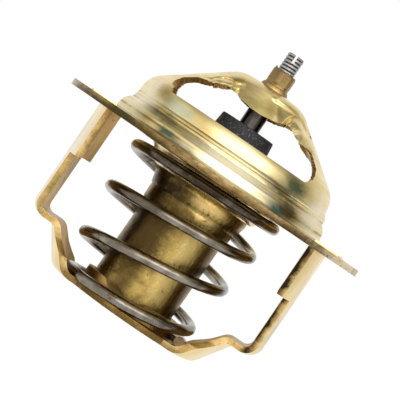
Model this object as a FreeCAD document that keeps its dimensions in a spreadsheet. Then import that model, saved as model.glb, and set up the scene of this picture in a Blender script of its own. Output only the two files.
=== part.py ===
import FreeCAD, Part
import math
import os

import Sketcher

# Engine thermostat, wax type, with a windowed dome and a lower stirrup.
# Millimetres, +Z up along the axis of the valve.
# The origin is on the axis, in the middle of the flange's thickness.
# The windows of the dome look along +Y and -Y, the arms stand at +X and -X.

SIZES = [
    # flange and windowed dome, drawn from one sheet
    ("flange_radius", 28.2),
    ("sheet_gauge", 1.1),
    ("step_radius", 20.0),
    ("step_height", 2.7),
    ("wall_radius", 18.2),
    ("wall_height", 7.55),
    ("cone_angle", 37.5),
    ("crown_height", 17.1),
    ("sill_height", 7.4),
    ("sill_half_width", 13.35),
    ("jamb_half_width", 13.0),
    ("jamb_height", 9.0),
    ("shoulder_half_width", 11.2),
    ("shoulder_height", 11.1),
    ("neck_half_width", 8.8),
    ("neck_height", 12.0),
    ("lip_half_width", 6.4),
    ("lip_top_height", 14.95),
    ("lip_foot_height", 12.5),
    ("lip_foot_radius", 10.1),
    ("lip_wrap", 78.0),
    ("lip_proud", 0.12),
    ("lip_sink", 0.1),
    ("lip_root_reach", 1.76),
    ("lip_root_rise", 0.35),
    ("lip_crest_set", 0.5),
    ("lip_crest_rise", 0.25),
    ("root_fillet", 0.6),
    ("step_fillet", 1.3),
    ("wall_fillet", 2.2),
    ("crown_fillet", 5.0),
    # tabs of the stirrup in the slots of the flange
    ("tab_half_width", 7.0),
    ("tab_clearance", 0.05),
    ("tab_head_rise", 0.3),
    ("tab_head_radius", 25.0),
    # stirrup, pressed from one strip
    ("stirrup_radius", 22.45),
    ("stirrup_gauge", 1.05),
    ("arm_half_width", 9.6),
    ("arm_step_depth", 9.85),
    ("stem_half_width", 6.15),
    ("ledge_radius", 18.1),
    ("foot_half_width", 8.1),
    ("slope_angle", 55.7),
    ("foot_clearance", 1.7),
    ("base_depth", 27.45),
    ("base_plate_radius", 11.6),
    ("collar_depth", 23.5),
    ("bend_fillet", 2.4),
    ("knee_fillet", 1.2),
    # boss, screw and piston rod
    ("boss_radius", 2.1),
    ("boss_flare_radius", 2.35),
    ("boss_flare_height", 1.2),
    ("boss_height", 20.7),
    ("boss_neck_radius", 2.0),
    ("nut_shoulder_radius", 4.2),
    ("nut_shoulder_height", 1.4),
    ("nut_socket_radius", 3.0),
    ("nut_socket_depth", 13.1),
    ("screw_radius", 1.5),
    ("screw_height", 24.0),
    ("screw_slot_width", 0.5),
    ("screw_slot_depth", 1.3),
    ("rod_radius", 1.85),
    ("rod_top_height", 15.2),
    ("turned_clearance", 0.03),
    ("rod_clearance", 0.04),
    # valve plate
    ("valve_radius", 18.4),
    ("valve_gauge", 0.9),
    ("valve_bevel", 0.5),
    ("valve_seat_gap", 0.03),
    ("valve_ramp_angle", 50.0),
    ("land_inner_radius", 11.75),
    ("land_outer_radius", 14.6),
    ("land_depth", 0.7),
    ("dish_angle", 52.0),
    # spring
    ("wire_radius", 0.95),
    ("coil_radius_low", 11.15),
    ("coil_radius_high", 13.25),
    ("closed_turns_low", 0.73),
    ("open_turns", 2.93),
    ("closed_turns_high", 0.66),
    ("pitch_blend_turns", 0.12),
    ("widening_start_turns", 0.53),
    ("widening_turns", 3.0),
    ("wire_end_angle", -10.0),
    ("spring_seat_gap", 0.05),
    # wax element
    ("hub_depth", 3.5),
    ("hub_radius", 5.0),
    ("hub_height", 1.5),
    ("web_depth", 4.4),
    ("skirt_radius", 8.85),
    ("skirt_foot_radius", 8.25),
    ("skirt_depth", 6.45),
    ("case_rim_radius", 8.3),
    ("case_rim_gauge", 0.8),
    ("case_mouth_radius", 8.0),
    ("case_mouth_depth", 8.9),
    ("case_radius", 7.5),
    ("case_wall", 0.6),
    ("case_floor", 0.8),
    ("case_depth", 26.0),
    ("case_corner", 1.2),
    ("case_slide_clearance", 0.35),
    ("crimp_clearance", 0.03),
    ("diaphragm_gauge", 0.8),
    ("gel_radius", 5.0),
    ("gel_top_depth", 1.5),
    ("plunger_length", 2.0),
    ("disc_gauge", 0.6),
    # guide neck, boot and ring
    ("neck_radius", 4.0),
    ("neck_top_height", 8.6),
    ("bead_groove_depth", 0.5),
    ("bead_groove_height", 5.0),
    ("bead_groove_width", 1.0),
    ("boot_top_height", 9.85),
    ("boot_top_radius", 4.93),
    ("boot_radius", 5.2),
    ("boot_foot_height", 4.2),
    ("boot_edge", 0.4),
    ("ring_groove_depth", 0.5),
    ("ring_gauge", 0.8),
    ("ring_radius", 6.3),
    ("ring_gap_width", 2.2),
    ("ring_clearance", 0.03),
]

doc = FreeCAD.newDocument("thermostat")
sheet = doc.addObject("Spreadsheet::Sheet", "Sizes")
for row, (alias, number) in enumerate(SIZES, start=1):
    sheet.set("A%d" % row, alias.replace("_", " "))
    sheet.set("B%d" % row, str(number))
    sheet.setAlias("B%d" % row, alias)
doc.recompute()


class Size:
    """A length or angle with its number and the expression that gives it."""

    def __init__(self, number, text):
        self.number = float(number)
        self.text = text

    def __add__(self, other):
        other = size(other)
        return Size(self.number + other.number, "(%s + %s)" % (self.text, other.text))

    def __sub__(self, other):
        other = size(other)
        return Size(self.number - other.number, "(%s - %s)" % (self.text, other.text))

    def __mul__(self, other):
        other = size(other)
        return Size(self.number * other.number, "(%s * %s)" % (self.text, other.text))

    def __truediv__(self, other):
        other = size(other)
        return Size(self.number / other.number, "(%s / %s)" % (self.text, other.text))

    def __neg__(self):
        return Size(-self.number, "(0 - %s)" % self.text)


def size(value):
    """The size of this name in the sheet, or a plain number as a size."""
    if isinstance(value, Size):
        return value
    if isinstance(value, str):
        return Size(sheet.get(value), "Sizes.%s" % value)
    return Size(value, repr(float(value)))


def tangent(angle):
    return Size(math.tan(math.radians(angle.number)), "tan(%s)" % angle.text)


def sine(angle):
    return Size(math.sin(math.radians(angle.number)), "sin(%s)" % angle.text)


def cosine(angle):
    return Size(math.cos(math.radians(angle.number)), "cos(%s)" % angle.text)


def bind(thing, name, value):
    thing.setExpression(name, value.text)


def new_body(label):
    body = doc.addObject("PartDesign::Body", label)
    body.Label = label
    return body


def plane_of(body, role):
    return [f for f in body.Origin.OriginFeatures if f.Role == role][0]


def outline(body, name, role, corners, lift=None):
    """A closed sketch through the corners, each held by two sizes."""
    sketch = body.newObject("Sketcher::SketchObject", name)
    sketch.AttachmentSupport = [(plane_of(body, role), "")]
    sketch.MapMode = "FlatFace"
    if lift is not None:
        sketch.AttachmentOffset = FreeCAD.Placement(
            FreeCAD.Vector(0, 0, lift.number), FreeCAD.Rotation()
        )
        bind(sketch, "AttachmentOffset.Base.z", lift)
    corners = [(size(across), size(up)) for across, up in corners]
    points = [FreeCAD.Vector(across.number, up.number, 0) for across, up in corners]
    count = len(points)
    lines = [Part.LineSegment(points[i], points[(i + 1) % count]) for i in range(count)]
    sketch.addGeometry(lines, False)
    for i in range(count):
        sketch.addConstraint(Sketcher.Constraint("Coincident", i, 2, (i + 1) % count, 1))
    for i, (across, up) in enumerate(corners):
        for kind, axis, value in (("DistanceX", -2, across), ("DistanceY", -1, up)):
            if abs(value.number) < 1e-9:
                sketch.addConstraint(Sketcher.Constraint("PointOnObject", i, 1, axis))
                continue
            place = sketch.addConstraint(
                Sketcher.Constraint(kind, -1, 1, i, 1, value.number)
            )
            sketch.renameConstraint(place, "%s_%d" % (kind.lower(), i))
            bind(sketch, "Constraints.%s_%d" % (kind.lower(), i), value)
    return sketch


def arc_bands(body, name, inner, outer, half, lift=None):
    """Two bands along circles about Z, one on each side of the YZ plane."""
    sketch = body.newObject("Sketcher::SketchObject", name)
    sketch.AttachmentSupport = [(plane_of(body, "XY_Plane"), "")]
    sketch.MapMode = "FlatFace"
    if lift is not None:
        sketch.AttachmentOffset = FreeCAD.Placement(
            FreeCAD.Vector(0, 0, lift.number), FreeCAD.Rotation()
        )
        bind(sketch, "AttachmentOffset.Base.z", lift)
    for count, side in enumerate((1, -1)):
        first = count * 4
        for radius in (inner, outer):
            reach = math.asin(half.number / radius.number)
            start = -reach if side > 0 else math.pi - reach
            circle = Part.Circle(
                FreeCAD.Vector(0, 0, 0), FreeCAD.Vector(0, 0, 1), radius.number
            )
            sketch.addGeometry(Part.ArcOfCircle(circle, start, start + 2 * reach), False)
        for end in (1, 2):
            near = sketch.getPoint(first, end)
            away = sketch.getPoint(first + 1, end)
            sketch.addGeometry(Part.LineSegment(near, away), False)
        for index, radius in ((first, inner), (first + 1, outer)):
            sketch.addConstraint(Sketcher.Constraint("Coincident", index, 3, -1, 1))
            place = sketch.addConstraint(
                Sketcher.Constraint("Radius", index, radius.number)
            )
            sketch.renameConstraint(place, "radius_%d" % index)
            bind(sketch, "Constraints.radius_%d" % index, radius)
        for end in (1, 2):
            line = first + 1 + end
            sketch.addConstraint(Sketcher.Constraint("Coincident", line, 1, first, end))
            sketch.addConstraint(Sketcher.Constraint("Coincident", line, 2, first + 1, end))
            for index in (first, first + 1):
                low = (end == 1) == (side > 0)
                height = -half if low else half
                place = sketch.addConstraint(
                    Sketcher.Constraint("DistanceY", -1, 1, index, end, height.number)
                )
                label = "reach_%d_%d" % (index, end)
                sketch.renameConstraint(place, label)
                bind(sketch, "Constraints." + label, height)
    return sketch


def turned(body, name, corners, role="XZ_Plane", angle=None):
    """A solid of revolution about Z."""
    sketch = outline(body, name + "_profile", role, corners)
    feature = body.newObject("PartDesign::Revolution", name)
    feature.Profile = sketch
    feature.ReferenceAxis = (sketch, ["V_Axis"])
    if angle is None:
        feature.Angle = 360
    else:
        feature.Midplane = True
        bind(feature, "Angle", angle)
    sketch.Visibility = False
    doc.recompute()
    return feature


def pocket(body, name, sketch, depth=None, reverse=False, both=False):
    """A cut that must take material away."""
    before = body.Shape.Volume
    feature = body.newObject("PartDesign::Pocket", name)
    feature.Profile = sketch
    if depth is None:
        feature.Type = "ThroughAll"
    else:
        feature.Type = "Length"
        bind(feature, "Length", depth)
    feature.Midplane = both
    feature.Reversed = reverse
    doc.recompute()
    if body.Shape.Volume > before - 1e-6:
        raise RuntimeError("%s takes nothing away" % name)
    return feature


def round_trim(body, name, radius, half, reach, side, lift):
    """What lies outside the circle on one side of the line at this half width."""
    sketch = body.newObject("Sketcher::SketchObject", name)
    sketch.AttachmentSupport = [(plane_of(body, "XY_Plane"), "")]
    sketch.MapMode = "FlatFace"
    sketch.AttachmentOffset = FreeCAD.Placement(
        FreeCAD.Vector(0, 0, lift.number), FreeCAD.Rotation()
    )
    bind(sketch, "AttachmentOffset.Base.z", lift)
    turn = math.asin(half.number / radius.number)
    start = turn if side > 0 else math.pi + turn
    circle = Part.Circle(FreeCAD.Vector(0, 0, 0), FreeCAD.Vector(0, 0, 1), radius.number)
    arc = Part.ArcOfCircle(circle, start, start + math.pi - 2 * turn)
    sketch.addGeometry(arc, False)
    sketch.addConstraint(Sketcher.Constraint("Coincident", 0, 3, -1, 1))
    place = sketch.addConstraint(Sketcher.Constraint("Radius", 0, radius.number))
    sketch.renameConstraint(place, "radius")
    bind(sketch, "Constraints.radius", radius)
    inner = half * side
    outer = reach * side
    right = 1 if side > 0 else 2
    left = 3 - right
    for end in (right, left):
        place = sketch.addConstraint(
            Sketcher.Constraint("DistanceY", -1, 1, 0, end, inner.number)
        )
        sketch.renameConstraint(place, "chord_%d" % end)
        bind(sketch, "Constraints.chord_%d" % end, inner)
    corners = [(reach, inner), (reach, outer), (-reach, outer), (-reach, inner)]
    points = [FreeCAD.Vector(a.number, b.number, 0) for a, b in corners]
    path = [sketch.getPoint(0, right)] + points + [sketch.getPoint(0, left)]
    for i in range(5):
        sketch.addGeometry(Part.LineSegment(path[i], path[i + 1]), False)
    for i in range(1, 5):
        sketch.addConstraint(Sketcher.Constraint("Coincident", i, 2, i + 1, 1))
        across, up = corners[i - 1]
        for kind, value in (("DistanceX", across), ("DistanceY", up)):
            place = sketch.addConstraint(
                Sketcher.Constraint(kind, -1, 1, i, 2, value.number)
            )
            label = "%s_%d" % (kind.lower(), i)
            sketch.renameConstraint(place, label)
            bind(sketch, "Constraints." + label, value)
    sketch.addConstraint(Sketcher.Constraint("Coincident", 1, 1, 0, right))
    sketch.addConstraint(Sketcher.Constraint("Coincident", 5, 2, 0, left))
    return sketch


def pad(body, name, sketch, length, reverse=False):
    """Material added to one side of a sketch."""
    feature = body.newObject("PartDesign::Pad", name)
    feature.Profile = sketch
    bind(feature, "Length", length)
    feature.Reversed = reverse
    sketch.Visibility = False
    doc.recompute()
    return feature


def ring_edges(shape, rings, reach=0.02):
    """Names of the circular edges about Z with these radii and heights."""
    names = []
    for index, edge in enumerate(shape.Edges, start=1):
        curve = edge.Curve
        if not isinstance(curve, Part.Circle):
            continue
        if math.hypot(curve.Center.x, curve.Center.y) > reach:
            continue
        for radius, height in rings:
            near = abs(curve.Radius - radius.number) < reach
            if near and abs(curve.Center.z - height.number) < reach:
                names.append("Edge%d" % index)
    return names


def rounded(body, name, rings, radius):
    """A fillet on the circular edges named by their radius and height."""
    base = body.Tip
    names = ring_edges(base.Shape, rings)
    if not names:
        raise RuntimeError("%s finds no edge" % name)
    feature = body.newObject("PartDesign::Fillet", name)
    feature.Base = (base, names)
    bind(feature, "Radius", radius)
    doc.recompute()
    return feature


sheet_gauge = size("sheet_gauge")
half_gauge = sheet_gauge / 2
stirrup_gauge = size("stirrup_gauge")

# Dome and flange

wall_inside = size("wall_radius") - sheet_gauge
bore_radius = size("step_radius") - sheet_gauge
slant = size(math.tan(math.radians(22.5)))
step_top = size("step_height") + size("step_radius") - size("wall_radius")
cone = size("cone_angle")
wall_drop = tangent((size(90) - cone) / 2)
crown_run = (size("crown_height") - size("wall_height")) / tangent(cone)
crown_radius = size("wall_radius") - crown_run
crown_slip = tangent(cone / 2)
crown_inside = size("crown_height") - sheet_gauge
boss_hole = size("boss_neck_radius") + size("turned_clearance")

dome = new_body("upper_frame")
dome_corners = [
    (size("flange_radius"), -half_gauge),
    (size("flange_radius"), half_gauge),
    (size("step_radius"), half_gauge),
    (size("step_radius"), size("step_height")),
    (size("wall_radius"), step_top),
    (size("wall_radius"), size("wall_height")),
    (crown_radius, size("crown_height")),
    (boss_hole, size("crown_height")),
    (boss_hole, crown_inside),
    (crown_radius - sheet_gauge * crown_slip, crown_inside),
    (wall_inside, size("wall_height") - sheet_gauge * wall_drop),
    (wall_inside, step_top - sheet_gauge * slant),
    (bore_radius, size("step_height") - sheet_gauge * slant),
    (bore_radius, -half_gauge),
]
turned(dome, "dome_sheet", dome_corners)
rounded(dome, "root_bend", [dome_corners[2]], size("root_fillet"))
rounded(dome, "step_bend", [dome_corners[3]], size("step_fillet"))
rounded(dome, "wall_bend", [dome_corners[5]], size("wall_fillet"))
rounded(dome, "wall_bend_inside", [dome_corners[10]], size("wall_fillet") - sheet_gauge)
rounded(dome, "crown_bend", [dome_corners[6]], size("crown_fillet"))
rounded(dome, "crown_bend_inside", [dome_corners[9]], size("crown_fillet") - sheet_gauge)

# The windows are cut straight across, front to back, leaving two arms
half_window = [
    (size("sill_half_width"), size("sill_height")),
    (size("jamb_half_width"), size("jamb_height")),
    (size("shoulder_half_width"), size("shoulder_height")),
    (size("neck_half_width"), size("neck_height")),
    (size("lip_half_width"), size("lip_top_height")),
]
window = half_window + [(-across, up) for across, up in reversed(half_window)]
pocket(dome, "windows", outline(dome, "window_outline", "XZ_Plane", window), both=True)

# A steep lip is turned down from the crown over each window
lip_outer_top = size("wall_radius") - (
    (size("lip_top_height") - size("wall_height")) / tangent(cone)
)
lip_head = size("lip_top_height") - size("lip_sink")
lip_corners = [
    (-(lip_outer_top + size("lip_proud")), lip_head),
    (-size("lip_foot_radius"), size("lip_foot_height")),
    (-(size("lip_foot_radius") - sheet_gauge), size("lip_foot_height")),
    (-(lip_outer_top - sheet_gauge), lip_head),
    (
        -(lip_outer_top - size("lip_root_reach")),
        size("lip_top_height") + size("lip_root_rise"),
    ),
    (
        -(lip_outer_top - size("lip_crest_set")),
        size("lip_top_height") + size("lip_crest_rise"),
    ),
]
lip_wrap = size("lip_wrap")
front_lip = turned(dome, "front_lip", lip_corners, role="YZ_Plane", angle=lip_wrap)
back_lip = dome.newObject("PartDesign::PolarPattern", "lips")
back_lip.Originals = [front_lip]
back_lip.Axis = (plane_of(dome, "Z_Axis"), [""])
back_lip.Angle = 360
back_lip.Occurrences = 2
dome.Tip = back_lip
doc.recompute()

# Slots in the flange for the tabs of the stirrup
tab_clearance = size("tab_clearance")
stirrup_inside = size("stirrup_radius") - stirrup_gauge
slots = arc_bands(
    dome,
    "slot_outline",
    stirrup_inside - tab_clearance,
    size("stirrup_radius") + tab_clearance,
    size("tab_half_width") + tab_clearance,
)
pocket(dome, "slots", slots, both=True)

# Stirrup

stirrup = new_body("lower_frame")
slip = tangent(size("slope_angle") / 2)
slope_foot = size("coil_radius_low") + size("wire_radius") + size("foot_clearance")
slope_drop = (size("ledge_radius") - slope_foot) * tangent(size("slope_angle"))
collar_bore = size("case_radius") + size("case_slide_clearance")
base = -size("base_depth")
ledge = base + slope_drop
stirrup_corners = [
    (size("stirrup_radius"), half_gauge),
    (size("stirrup_radius"), ledge),
    (size("ledge_radius"), ledge),
    (slope_foot, base),
    (collar_bore, base),
    (collar_bore, -size("collar_depth")),
    (collar_bore + stirrup_gauge, -size("collar_depth")),
    (collar_bore + stirrup_gauge, base + stirrup_gauge),
    (slope_foot - stirrup_gauge * slip, base + stirrup_gauge),
    (size("ledge_radius") - stirrup_gauge * slip, ledge + stirrup_gauge),
    (stirrup_inside, ledge + stirrup_gauge),
    (stirrup_inside, half_gauge),
]
turned(stirrup, "stirrup_sheet", stirrup_corners)
bend = size("bend_fillet")
knee = size("knee_fillet")
rounded(stirrup, "elbow", [stirrup_corners[1]], bend)
rounded(stirrup, "elbow_inside", [stirrup_corners[10]], bend - stirrup_gauge)
rounded(stirrup, "knee", [stirrup_corners[2]], knee)
rounded(stirrup, "knee_inside", [stirrup_corners[9]], knee + stirrup_gauge)
rounded(stirrup, "heel", [stirrup_corners[3]], bend)
rounded(stirrup, "heel_inside", [stirrup_corners[8]], bend - stirrup_gauge)
rounded(stirrup, "collar_root", [stirrup_corners[4]], knee)

# Each side is cut away beyond the arms, the stems and the feet
far = size("flange_radius")
flare = size("foot_half_width") - size("stem_half_width")
stem_end = ledge + stirrup_gauge
for side in (1, -1):
    side_cut = [
        (size("tab_half_width") * side, far),
        (size("tab_half_width") * side, -half_gauge),
        (size("arm_half_width") * side, -half_gauge),
        (size("arm_half_width") * side, -size("arm_step_depth")),
        (size("stem_half_width") * side, -size("arm_step_depth")),
        (size("stem_half_width") * side, stem_end),
        (size("foot_half_width") * side, stem_end - flare),
        (size("foot_half_width") * side, base + stirrup_gauge),
        (far * side, base + stirrup_gauge),
        (far * side, far),
    ]
    name = "side_cut_front" if side < 0 else "side_cut_back"
    sketch = outline(stirrup, name + "_outline", "YZ_Plane", side_cut)
    pocket(stirrup, name, sketch, both=True)

# The base is trimmed to a round plate about the collar
for side in (1, -1):
    name = "base_cut_front" if side < 0 else "base_cut_back"
    sketch = round_trim(
        stirrup, name + "_outline", size("base_plate_radius"), size("foot_half_width"),
        far, side, base,
    )
    pocket(stirrup, name, sketch, depth=stirrup_gauge, reverse=True)

# The tabs are spread over the flange
heads = arc_bands(
    stirrup,
    "tab_head_outline",
    size("step_radius") + size("root_fillet") + size("tab_clearance"),
    size("tab_head_radius"),
    size("tab_half_width"),
    lift=half_gauge,
)
pad(stirrup, "tab_heads", heads, size("tab_head_rise"))

# Boss, adjusting screw and piston rod

rod_bore = size("rod_radius") + size("rod_clearance")
screw_bore = size("screw_radius") + size("turned_clearance")
flare_top = size("crown_height") + size("boss_flare_height")
nut = new_body("adjusting_nut")
turned(nut, "nut_turning", [
    (screw_bore, size("boss_height")),
    (size("boss_radius"), size("boss_height")),
    (size("boss_radius"), flare_top),
    (size("boss_flare_radius"), size("crown_height")),
    (size("boss_neck_radius"), size("crown_height")),
    (size("boss_neck_radius"), crown_inside),
    (size("nut_shoulder_radius"), crown_inside),
    (size("nut_shoulder_radius"), crown_inside - size("nut_shoulder_height")),
    (size("nut_socket_radius"), crown_inside - size("nut_shoulder_height")),
    (size("nut_socket_radius"), size("nut_socket_depth")),
    (rod_bore, size("nut_socket_depth")),
    (rod_bore, size("rod_top_height")),
    (screw_bore, size("rod_top_height")),
])

screw = new_body("adjusting_screw")
turned(screw, "screw_turning", [
    (0, size("rod_top_height")),
    (size("screw_radius"), size("rod_top_height")),
    (size("screw_radius"), size("screw_height")),
    (0, size("screw_height")),
])
slot_half = size("screw_slot_width") / 2
slot_side = size("screw_radius") * 2
screw_slot = outline(screw, "screw_slot_outline", "XY_Plane", [
    (-slot_half, -slot_side),
    (slot_half, -slot_side),
    (slot_half, slot_side),
    (-slot_half, slot_side),
], lift=size("screw_height"))
pocket(screw, "screw_slot", screw_slot, depth=size("screw_slot_depth"))

disc_top = -size("gel_top_depth") + size("plunger_length") + size("disc_gauge")
rod = new_body("piston_rod")
turned(rod, "rod_turning", [
    (0, disc_top),
    (size("rod_radius"), disc_top),
    (size("rod_radius"), size("rod_top_height")),
    (0, size("rod_top_height")),
])

# Valve plate, a dish with a land for the spring and a bevelled rim

valve_gauge = size("valve_gauge")
hub = -size("hub_depth")
land = -size("land_depth")
seat_height = size("step_height") - sheet_gauge * slant
seat_drop = size("valve_seat_gap") * math.sqrt(2)
bevel = size("valve_bevel")
bevel_foot = seat_height + bore_radius - size("valve_radius") - seat_drop
rim_top = bevel_foot + bevel
rim_base = rim_top - valve_gauge
ramp = size("valve_ramp_angle")
dish = size("dish_angle")
dish_slip = valve_gauge * tangent(dish / 2)
ramp_slip = valve_gauge * tangent(ramp / 2)
dish_foot = size("land_inner_radius") - (land - hub) / tangent(dish)
ramp_head = size("land_outer_radius") + (rim_base - land) / tangent(ramp)
plate_bore = size("hub_radius") + size("turned_clearance")
plate = new_body("valve_plate")
turned(plate, "valve_sheet", [
    (plate_bore, hub),
    (dish_foot, hub),
    (size("land_inner_radius"), land),
    (size("land_outer_radius"), land),
    (ramp_head, rim_base),
    (size("valve_radius"), rim_base),
    (size("valve_radius"), bevel_foot),
    (size("valve_radius") - bevel, rim_top),
    (ramp_head - ramp_slip, rim_top),
    (size("land_outer_radius") - ramp_slip, land + valve_gauge),
    (size("land_inner_radius") - dish_slip, land + valve_gauge),
    (dish_foot - dish_slip, hub + valve_gauge),
    (plate_bore, hub + valve_gauge),
])

# Guide: a turned neck with a web and a skirt that is closed over the case's rim

web = -size("web_depth")
diaphragm_foot = web - size("diaphragm_gauge")
rim_foot = diaphragm_foot - size("case_rim_gauge")
skirt_inside = size("case_rim_radius") + size("crimp_clearance")
crimp_inside = size("case_mouth_radius") + size("crimp_clearance")
ring_foot = hub + valve_gauge
ring_top = ring_foot + size("ring_gauge") + size("ring_clearance")
ring_groove = size("hub_radius") - size("ring_groove_depth")
bead_foot = size("bead_groove_height")
bead_top = bead_foot + size("bead_groove_width")
bead_radius = size("neck_radius") - size("bead_groove_depth")
guide = new_body("element_guide")
turned(guide, "guide_turning", [
    (rod_bore, -size("gel_top_depth")),
    (size("gel_radius"), web),
    (skirt_inside, web),
    (skirt_inside, rim_foot),
    (crimp_inside, rim_foot),
    (crimp_inside, -size("skirt_depth")),
    (size("skirt_foot_radius"), -size("skirt_depth")),
    (size("skirt_radius"), web),
    (size("skirt_radius"), hub),
    (size("hub_radius"), hub),
    (size("hub_radius"), ring_foot),
    (ring_groove, ring_foot),
    (ring_groove, ring_top),
    (size("hub_radius"), ring_top),
    (size("hub_radius"), size("hub_height")),
    (size("neck_radius"), size("hub_height")),
    (size("neck_radius"), bead_foot),
    (bead_radius, bead_foot),
    (bead_radius, bead_top),
    (size("neck_radius"), bead_top),
    (size("neck_radius"), size("neck_top_height")),
    (rod_bore, size("neck_top_height")),
])

# Wax case, a drawn cup with a widened mouth and a rim

wall = size("case_wall")
case_floor = -size("case_depth") + size("case_floor")
mouth_run = size("case_mouth_radius") - size("case_radius")
case = new_body("element_case")
case_corners = [
    (0, -size("case_depth")),
    (size("case_radius"), -size("case_depth")),
    (size("case_radius"), -size("case_mouth_depth") - mouth_run),
    (size("case_mouth_radius"), -size("case_mouth_depth")),
    (size("case_mouth_radius"), rim_foot),
    (size("case_rim_radius"), rim_foot),
    (size("case_rim_radius"), diaphragm_foot),
    (size("case_mouth_radius") - wall, diaphragm_foot),
    (size("case_mouth_radius") - wall, -size("case_mouth_depth")),
    (size("case_radius") - wall, -size("case_mouth_depth") - mouth_run),
    (size("case_radius") - wall, case_floor),
    (0, case_floor),
]
turned(case, "case_cup", case_corners)
rounded(case, "case_heel", [case_corners[1]], size("case_corner"))

wax = new_body("wax_fill")
turned(wax, "wax_body", [
    (0, case_floor),
    (size("case_radius") - wall, case_floor),
    (size("case_radius") - wall, -size("case_mouth_depth") - mouth_run),
    (size("case_mouth_radius") - wall, -size("case_mouth_depth")),
    (size("case_mouth_radius") - wall, diaphragm_foot),
    (0, diaphragm_foot),
])

diaphragm = new_body("diaphragm")
turned(diaphragm, "diaphragm_disc", [
    (0, diaphragm_foot),
    (size("case_rim_radius"), diaphragm_foot),
    (size("case_rim_radius"), web),
    (0, web),
])

gel = new_body("transfer_gel")
turned(gel, "gel_cone", [
    (0, web),
    (size("gel_radius"), web),
    (rod_bore, -size("gel_top_depth")),
    (0, -size("gel_top_depth")),
])

plunger = new_body("rubber_plunger")
turned(plunger, "plunger_body", [
    (0, -size("gel_top_depth")),
    (size("rod_radius"), -size("gel_top_depth")),
    (size("rod_radius"), disc_top - size("disc_gauge")),
    (0, disc_top - size("disc_gauge")),
])

backup = new_body("backup_disc")
turned(backup, "backup_body", [
    (0, disc_top - size("disc_gauge")),
    (size("rod_radius"), disc_top - size("disc_gauge")),
    (size("rod_radius"), disc_top),
    (0, disc_top),
])

# Rubber boot gripping the neck, with its bead in the groove

boot = new_body("piston_boot")
boot_corners = [
    (rod_bore, size("boot_top_height")),
    (size("boot_top_radius"), size("boot_top_height")),
    (size("boot_radius"), size("sill_height")),
    (size("boot_radius"), size("boot_foot_height")),
    (size("neck_radius"), size("boot_foot_height")),
    (size("neck_radius"), bead_foot),
    (bead_radius, bead_foot),
    (bead_radius, bead_top),
    (size("neck_radius"), bead_top),
    (size("neck_radius"), size("neck_top_height")),
    (rod_bore, size("neck_top_height")),
]
turned(boot, "boot_moulding", boot_corners)
rounded(boot, "boot_edge", [boot_corners[1]], size("boot_edge"))

# Snap ring over the valve plate, open on one side

ring = new_body("snap_ring")
turned(ring, "ring_blank", [
    (ring_groove + size("ring_clearance"), ring_foot),
    (size("ring_radius"), ring_foot),
    (size("ring_radius"), ring_foot + size("ring_gauge")),
    (ring_groove + size("ring_clearance"), ring_foot + size("ring_gauge")),
])
gap_half = size("ring_gap_width") / 2
ring_gap = outline(ring, "ring_gap_outline", "XY_Plane", [
    (0, -gap_half),
    (size("valve_radius"), -gap_half),
    (size("valve_radius"), gap_half),
    (0, gap_half),
])
pocket(ring, "ring_gap", ring_gap, both=True)

# Spring: closed turns at both ends, the coil widening upwards

wire = sheet.get("wire_radius")
low_turns = sheet.get("closed_turns_low")
open_turns = sheet.get("open_turns")
high_turns = sheet.get("closed_turns_high")
seat_low = -sheet.get("base_depth") + sheet.get("stirrup_gauge")
seat_high = -sheet.get("land_depth")
spring_foot = seat_low + sheet.get("spring_seat_gap") + wire
spring_head = seat_high - sheet.get("spring_seat_gap") - wire
all_turns = low_turns + open_turns + high_turns
blend = sheet.get("pitch_blend_turns")
widening_start = sheet.get("widening_start_turns")
widening_turns = sheet.get("widening_turns")
end_angle = math.radians(sheet.get("wire_end_angle"))
low = sheet.get("coil_radius_low")
spread = sheet.get("coil_radius_high") - low
samples = 18
path = []
total = int(all_turns * samples)
for step in range(total + 1):
    turn = all_turns * step / total
    rise = 0.0
    if turn > low_turns - blend:
        part = min(turn, low_turns + blend) - (low_turns - blend)
        rise += part * part / (4 * blend)
    if turn > low_turns + blend:
        rise += turn - low_turns - blend
    past = turn - (low_turns + open_turns - blend)
    if past > 0:
        part = min(past, 2 * blend)
        rise -= part * part / (4 * blend)
    if past > 2 * blend:
        rise -= past - 2 * blend
    height = spring_foot + (spring_head - spring_foot) * rise / open_turns
    grow = min(max((turn - widening_start) / widening_turns, 0.0), 1.0)
    radius = low + spread * math.sin(grow * math.pi / 2)
    angle = 2 * math.pi * turn + end_angle
    path.append(FreeCAD.Vector(radius * math.cos(angle), radius * math.sin(angle), height))
curve = Part.BSplineCurve()
curve.interpolate(path)
start_way = curve.tangent(curve.FirstParameter)[0]
section = Part.Wire([Part.Edge(Part.Circle(path[0], start_way, wire))])
spine = Part.Wire([curve.toShape()])
coil = spine.makePipeShell([section], True, True)
spring = doc.addObject("Part::Feature", "main_spring")
spring.Label = "main_spring"
spring.Shape = coil

# The finished pieces

doc.recompute()
PIECES = [
    dome, stirrup, nut, screw, rod, plate, guide, case, wax, diaphragm, gel,
    plunger, backup, boot, ring, spring,
]
for thing in doc.Objects:
    if "Invalid" in thing.State or "Error" in thing.State:
        raise RuntimeError("%s failed: %s" % (thing.Name, thing.State))
os.makedirs("parts", exist_ok=True)
for piece in PIECES:
    shape = piece.Shape
    if shape.isNull() or not shape.isValid():
        raise RuntimeError("%s has no valid shape" % piece.Label)
    print(piece.Label, round(shape.Volume, 2), len(shape.Solids))
    shape.exportStep("parts/%s.step" % piece.Label)
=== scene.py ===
"""Engine thermostat: the finish and the fine forms of a wax valve with a windowed brass dome."""

import math
import random

import bmesh
import bpy
from mathutils import Matrix, Vector, noise


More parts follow.
